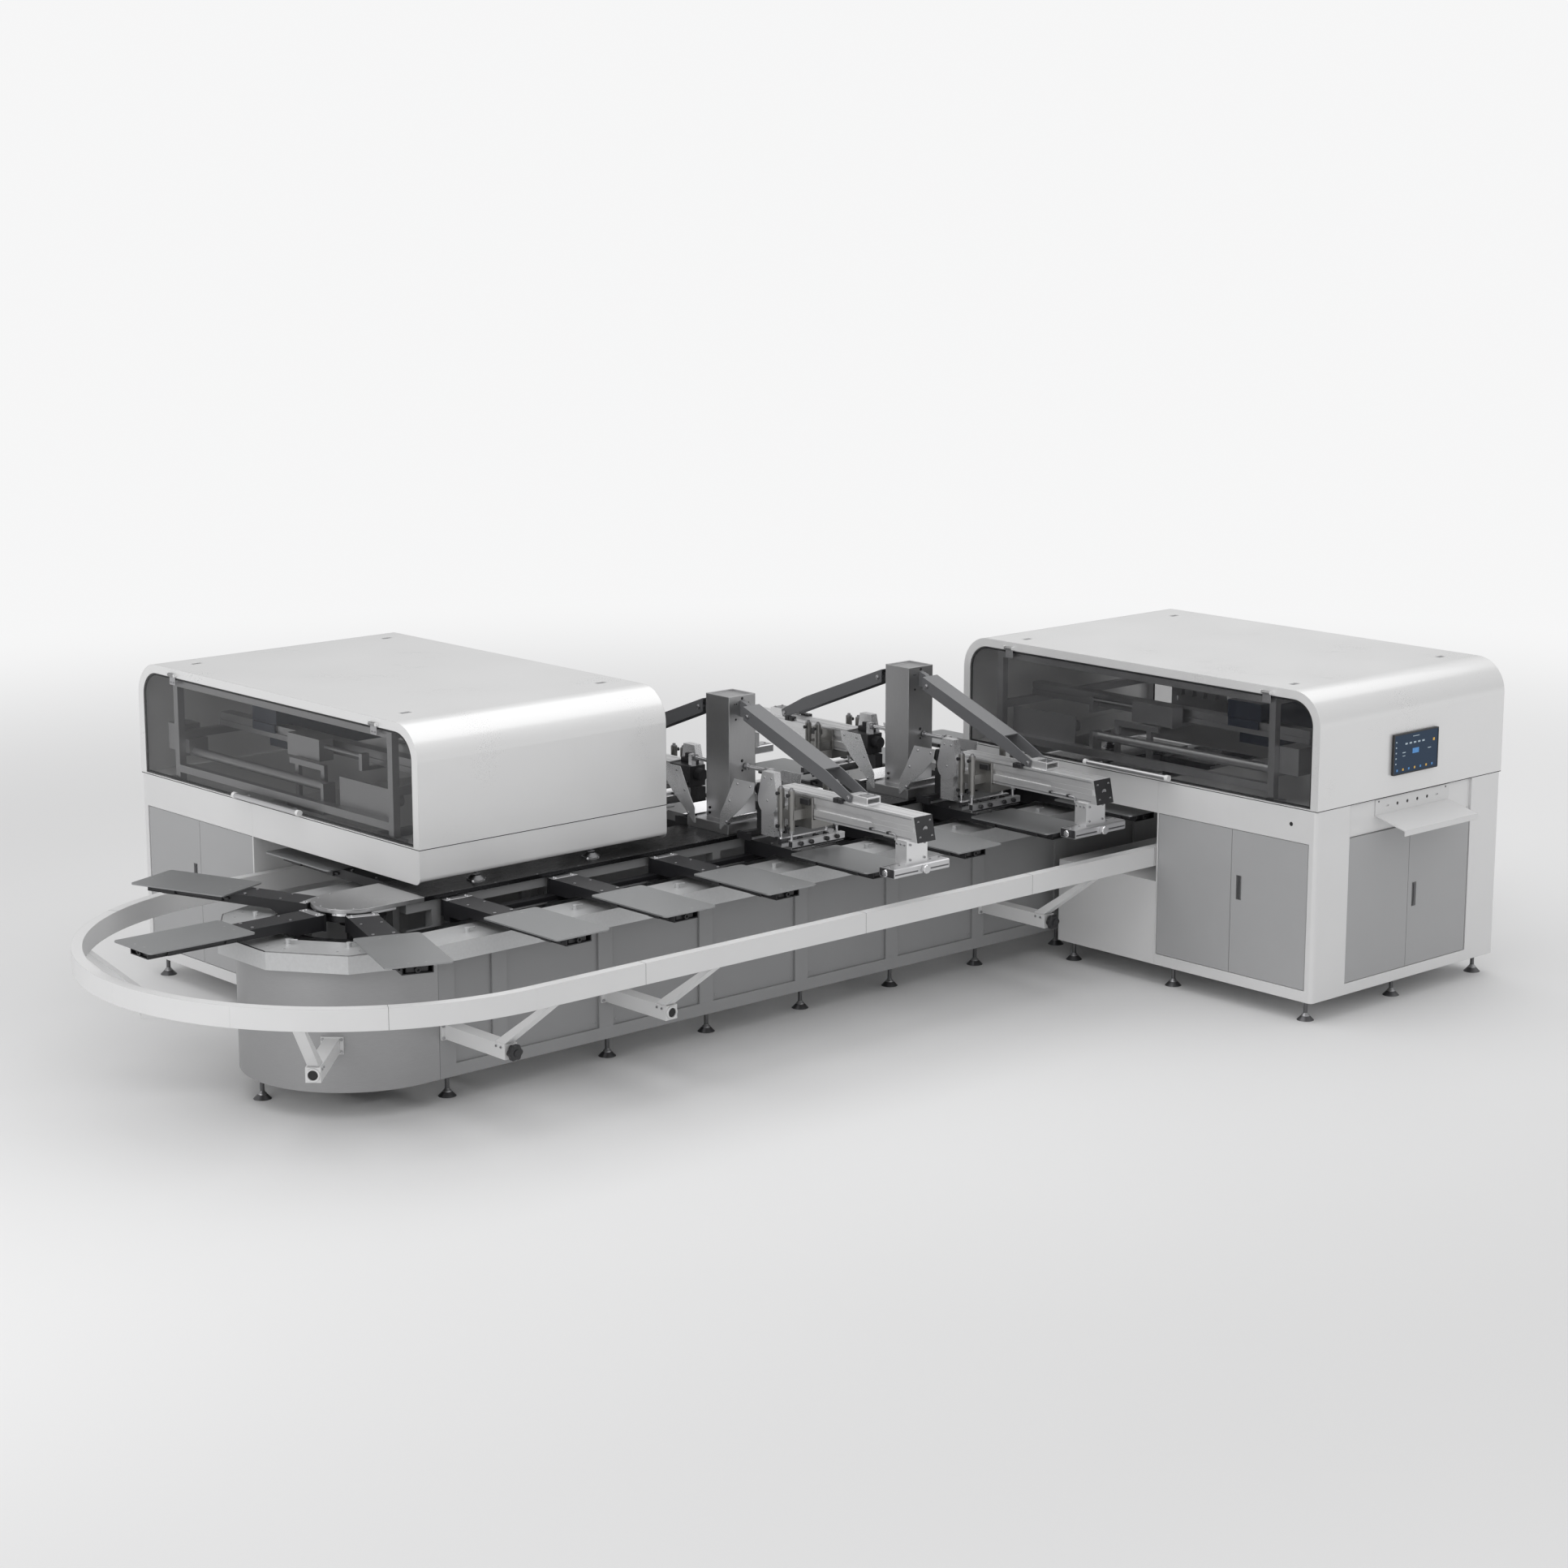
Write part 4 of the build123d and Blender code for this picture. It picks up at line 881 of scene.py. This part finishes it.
def bladeRubber(s, x):
    s.at().loft([[(x - 0.1995, -0.7512, 1.0395), (x - 0.1995, -0.7428, 1.0395), (x - 0.1995, -0.7428, 1.0515),
                  (x - 0.1995, -0.7512, 1.0515)],
                 [(x + 0.1995, -0.7512, 1.0395), (x + 0.1995, -0.7428, 1.0395), (x + 0.1995, -0.7428, 1.0515),
                  (x + 0.1995, -0.7512, 1.0515)]])


def headPiece(name, draw, finish, part):
    for side in ("near", "far"):
        for label, x in (("left", -heads["mastX"]), ("right", heads["mastX"])):
            s = Shape()
            draw(s, x if side == "near" else -x)
            if side == "far":
                s = turnedCopy(s)
            piece(f"{side}{label.title()}{name}", s, finish, f"{side}_{label}_{part}")


rows = (-0.633, -0.721)
headPiece("CylinderCaps", lambda s, x: carriageParts(s, x, rows), "boltSteel", "carriage")
headPiece("AirFittings", lambda s, x: carriageBlack(s, x, rows), "plasticBlack", "carriage")
headPiece("SqueegeeKnobs", lambda s, x: bladeParts(s, x, -0.760, -0.728), "plasticBlack", "squeegee")
headPiece("SqueegeeRubber", bladeRubber, "rubberBlack", "squeegee")
headPiece("FloodEnds", lambda s, x: bladeParts(s, x, -0.668, -0.640), "plasticBlack", "flood")
print("stage: heads")


# base, gutter and rail
base = {"half": 0.615, "low": 0.145, "under": 0.908, "endX": 3.310}


def panelScrews():
    s = Shape()
    for i in range(-4, 4):
        for dx in (0.075, 0.652):
            for z in (0.245, 0.530, 0.815):
                facing(s, i * pallets["pitch"] + dx, -base["half"] + 0.0140, z, "-Y")
                s.roundHead(0.005, 0.003)
    return s


def casingTrim():
    s = Shape()
    for side in (-1, 1):
        y = side * (base["half"] + 0.0002)
        a, b = sorted((y, y - side * 0.002))
        s.at().block((base["endX"] - 0.0015, a, base["low"] + 0.002),
                     (base["endX"] + 0.0015, b, base["under"] - 0.002), 0.0003)
    return s


def gutterSeams():
    s = Shape()
    length = 2 * pallets["endX"] / pallets["straight"]
    for side in (-1, 1):
        for i in range(1, pallets["straight"]):
            x = -pallets["endX"] + i * length
            a, b = sorted((side * 0.461, side * 0.7315))
            s.at().block((x - 0.0008, a, 0.9085), (x + 0.0008, b, 0.9122), 0.0002)
            a, b = sorted((side * 0.7295, side * 0.7322))
            s.at().block((x - 0.0008, a, 0.813), (x + 0.0008, b, 0.9115), 0.0002)
    return s


def gutterScrews():
    s = Shape()
    length = 2 * pallets["endX"] / pallets["straight"]
    for i in range(pallets["straight"]):
        x0 = -pallets["endX"] + i * length
        for dx in (0.03, length - 0.03):
            for y in (-0.50, -0.70):
                s.at(x0 + dx, y, 0.9118)
                s.roundHead(0.006, 0.003)
            facing(s, x0 + dx, -0.7318, 0.86, "-Y")
            s.roundHead(0.006, 0.003)
    for k in range(5):
        mid = 90.0 - 18.0 - 36.0 * k
        for off in (-13.0, 13.0):
            a = math.radians(mid + off)
            s.at(pallets["endX"] + 0.64 * math.cos(a), 0.64 * math.sin(a), 0.9118)
            s.roundHead(0.006, 0.003)
    return s


def deckScrews():
    s = Shape()
    for i in range(-10, 11):
        for y in (-0.198, 0.198):
            if abs(abs(i * 0.29) - 0.727) > 0.20:
                s.at(i * 0.29, y, 1.0268)
                s.roundHead(0.0065, 0.0028)
    for angle in range(-90, 91, 30):
        a = math.radians(angle)
        s.at(pallets["endX"] + 0.190 * math.cos(a), 0.190 * math.sin(a), 1.0268)
        s.roundHead(0.0065, 0.0028)
    return s


def capSkirts():
    s = Shape()
    steps = 24
    outer, rings = 0.204, []
    for z, r in ((0.986, outer - 0.004), (0.988, outer), (1.001, outer), (1.0025, outer - 0.004)):
        ring = []
        for i in range(steps + 1):
            a = -math.pi / 2 + math.pi * i / steps
            ring.append((pallets["endX"] + r * math.cos(a), r * math.sin(a), z))
        ring.append((pallets["endX"] - 0.15, r, z))
        ring.append((pallets["endX"] - 0.15, -r, z))
        rings.append(ring)
    return s.loft(rings)


def railJoints():
    s = Shape()
    for x in (-2.650, -1.080, 0.240, 1.290):
        s.at().block((x - 0.0010, -1.5254, 0.7285), (x + 0.0010, -1.4644, 0.8424), 0.0003)
    for angle in (-60, 60):
        s.place = Matrix.Translation((3.362, 0, 0)) @ Matrix.Rotation(math.radians(angle), 4, "Z")
        s.block((1.5245, -0.0010, 0.7285), (1.5254, 0.0010, 0.8424), 0.0003)
        s.block((1.4645, -0.0010, 0.8416), (1.5252, 0.0010, 0.8424), 0.0003)
    return s


armPlaces = {"knob": (-3.244, 0.788), "bore": (-2.161,), "endAngles": (45.0, 135.0)}


def armFrames(kind):
    found = []
    if kind == "knob":
        found = [Matrix.Translation((x, 0, 0)) for x in armPlaces["knob"]]
    else:
        found = [Matrix.Translation((x, 0, 0)) for x in armPlaces["bore"]]
        found += [Matrix.Translation((pallets["endX"], 0, 0)) @ Matrix.Rotation(math.radians(a), 4, "Z")
                  for a in armPlaces["endAngles"]]
    return found


def armKnobs():
    s = Shape()
    for place in armFrames("knob"):
        s.place = place @ Matrix.Translation((0, -1.147, 0.405)) @ Matrix.Rotation(math.radians(90), 4, "X")
        s.lathe([(0.016, 0), (0.016, 0.020)], 20)
        s.place = place @ Matrix.Translation((0, -1.160, 0.405)) @ Matrix.Rotation(math.radians(90), 4, "X")
        starKnob(s, 0.046, 0.036)
    return s


def armFlanges():
    s = Shape()
    for place in armFrames("bore"):
        s.place = place @ Matrix.Translation((0, -1.147, 0.405)) @ Matrix.Rotation(math.radians(90), 4, "X")
        s.lathe([(0.033, 0.0), (0.036, 0.001), (0.036, 0.007), (0.034, 0.009), (0.027, 0.009), (0.026, 0.001),
                 (0.0, 0.001)], 32)
    return s


# black disc inside each flange bore: painted shade for the dark depth of the bore
def armBores():
    s = Shape()
    for place in armFrames("bore"):
        s.place = place @ Matrix.Translation((0, -1.147, 0.405)) @ Matrix.Rotation(math.radians(90), 4, "X")
        s.lathe([(0.0255, 0.0012), (0.0255, 0.0022), (0.02, 0.0024)], 32)
    return s


def armPlateBolts():
    s = Shape()
    for place in armFrames("knob") + armFrames("bore"):
        for dx in (-0.05, 0.05):
            for z in (0.371, 0.439):
                s.place = place @ Matrix.Translation((dx, -0.6268, z)) @ Matrix.Rotation(math.radians(90), 4, "X")
                s.hexNut(0.009, 0.007)
        for side in (-1, 1):
            for y, z in ((-1.075, 0.428), (-1.115, 0.428)):
                turn = Matrix.Rotation(math.radians(90 * side), 4, "Y")
                s.place = place @ Matrix.Translation((side * 0.0400, y, z)) @ turn
                s.capScrew(0.007, 0.006)
    return s


def footNuts():
    s = Shape()
    spots = [(-3.176, -0.488, 0.145)] + [(k * pallets["pitch"] + 0.105, -0.488, 0.145) for k in range(-3, 4)]
    for a in (-75.0, -14.5):
        spots.append((pallets["endX"] + 0.525 * math.cos(math.radians(a)), 0.525 * math.sin(math.radians(a)), 0.145))
    for x in (1.370, 2.1675, 2.965):
        for y in (-2.637, -1.629, -0.820):
            spots.append((x, y, 0.123))
    for x, y, top in spots:
        s.at(x, y, top - 0.018)
        s.hexNut(0.021, 0.016)
        s.at(x, y, 0.026)
        s.lathe([(0.026, -0.001), (0.024, 0.004), (0.017, 0.010), (0.014, 0.016)], 24)
    return s


deckFoot = {"places": (1.838, 2.642), "y": 0.068, "deck": 1.0272, "nut": 1.0535}


def deckFeet():
    s = Shape()
    for x in deckFoot["places"]:
        s.at(x, deckFoot["y"], deckFoot["deck"])
        s.lathe([(0.0502, 0), (0.0512, 0.001), (0.0510, 0.005), (0.0268, 0.0248),
                 (0.0140, 0.0256), (0.0130, 0.0700)], 36)
        s.at(x, deckFoot["y"], deckFoot["nut"])
        s.hexNut(0.023, 0.012)
    return s


def deckFootRims():
    s = Shape()
    for x in deckFoot["places"]:
        s.at(x, deckFoot["y"], deckFoot["deck"])
        s.lathe([(0.0506, 0), (0.0526, 0.0006), (0.0526, 0.0052), (0.0506, 0.0062)], 36)
    return s


for name, shape, finish in (
        ("panelScrews", panelScrews(), "boltSteel"), ("casingSeams", casingTrim(), "steelDark"),
        ("gutterSeams", gutterSeams(), "steelDark"), ("gutterScrews", gutterScrews(), "boltSteel"),
        ("deckScrews", deckScrews(), "boltSteel"), ("capSkirts", capSkirts(), "chrome"),
        ("railJoints", railJoints(), "steelDark"),
        ("armKnobs", armKnobs(), "plasticBlack"), ("armFlanges", armFlanges(), "railWhite"),
        ("armBores", armBores(), "rubberBlack"), ("armPlateBolts", armPlateBolts(), "boltSteel"),
        ("footNuts", footNuts(), "boltSteel"), ("deckFeet", deckFeet(), "steelDark"),
        ("deckFootRims", deckFootRims(), "chrome")):
    piece(name, shape, finish, both=name != "gutterSeams")
print("stage: base and rail")


# floor, light and camera
studio = {"floor": (0.79, 0.79, 0.792), "size": 400.0, "air": (0.925, 0.925, 0.927), "fadeFrom": 5.0, "fadeTo": 15.0,
          "fill": 0.46, "fromAbove": 0.30, "fromFront": 0.28, "fromLeft": 0.12}


def floor():
    s = Shape()
    half = studio["size"] / 2
    s.face(s.ring([(-half, -half, 0), (half, -half, 0), (half, half, 0), (-half, half, 0)]))
    data = bpy.data.meshes.new("floor")
    s.mesh.to_mesh(data)
    s.mesh.free()
    f = Finish("floorPale", studio["floor"], Roughness=0.6)
    f.feed("Base Color", f.blend(f.noise(0.6, 2.0), (*shaded(studio["floor"], 0.985), 1), (*studio["floor"], 1)))
    # from fadeFrom to fadeTo metres out the floor blends into a flat glow of the backdrop colour: this joins the
    # floor to the backdrop, and is painted light that leaves the floor near the machine darker as painted contact
    # shade
    reach = f.node("ShaderNodeVectorMath", {"operation": "LENGTH"}, {0: f.place}, 1)
    fade = f.node("ShaderNodeMapRange", {"interpolation_type": "SMOOTHSTEP"}, {
        "Value": reach, "From Min": studio["fadeFrom"], "From Max": studio["fadeTo"]})
    glow = f.node("ShaderNodeEmission", {}, {"Color": (*studio["air"], 1)})
    out = f.node("ShaderNodeMixShader", {}, {0: fade, 1: Link(f, f.shader.outputs[0]), 2: glow})
    f.tree.links.new(out.socket, f.tree.nodes["Material Output"].inputs["Surface"])
    data.materials.append(f.material)
    obj = bpy.data.objects.new("floor", data)
    bpy.context.scene.collection.objects.link(obj)


class Air(Finish):
    def __init__(self, world):
        self.tree = world.node_tree


def studioAir():
    world = bpy.data.worlds.new("studioAir")
    world.use_nodes = True
    bpy.context.scene.world = world
    air = Air(world)
    way = air.node("ShaderNodeTexCoord", {}, {}, "Generated")
    split = air.node("ShaderNodeSeparateXYZ", {}, {0: way})
    x, y, z = (Link(air, split.socket.node.outputs[k]) for k in range(3))
    up = z.math("MAXIMUM", z, 0.0)
    front = y.math("MAXIMUM", 0.0 - y, 0.0)
    left = x.math("MAXIMUM", 0.0 - x, 0.0)
    light = up * studio["fromAbove"] + front * studio["fromFront"] + left * studio["fromLeft"] + studio["fill"]
    seen = air.node("ShaderNodeLightPath", {}, {}, "Is Camera Ray")
    value = light * (1.0 - seen) + seen * 1.0
    back = world.node_tree.nodes["Background"]
    back.inputs["Color"].default_value = (*studio["air"], 1)
    world.node_tree.links.new(value.socket, back.inputs["Strength"])


def softBox(name, place, aim, size, power):
    light = bpy.data.lights.new(name, "AREA")
    light.shape = "RECTANGLE"
    light.size, light.size_y = size
    light.energy = power
    obj = bpy.data.objects.new(name, light)
    obj.location = place
    obj.rotation_euler = (Vector(aim) - Vector(place)).to_track_quat("-Z", "Y").to_euler()
    bpy.context.scene.collection.objects.link(obj)


floor()
studioAir()
softBox("overhead", (1.5, 0.0, 6.5), (1.5, 0, 0), (15, 8), 330)
softBox("left", (-9.5, -1.0, 3.2), (-2.5, 1, 1), (4, 3), 90)

view = {"place": (-13.046, -14.069, 5.243), "turn": -42.16, "down": 11.98, "lens": 74.84}
camera = bpy.data.cameras.new("camera")
camera.lens = view["lens"]
camera.sensor_width = 36.0
camera.clip_end = 200.0
cameraObject = bpy.data.objects.new("camera", camera)
cameraObject.location = view["place"]
cameraObject.rotation_euler = (math.radians(90 - view["down"]), 0, math.radians(view["turn"]))
bpy.context.scene.collection.objects.link(cameraObject)
bpy.context.scene.camera = cameraObject
bpy.context.scene.view_settings.view_transform = "Standard"
print("stage: studio")
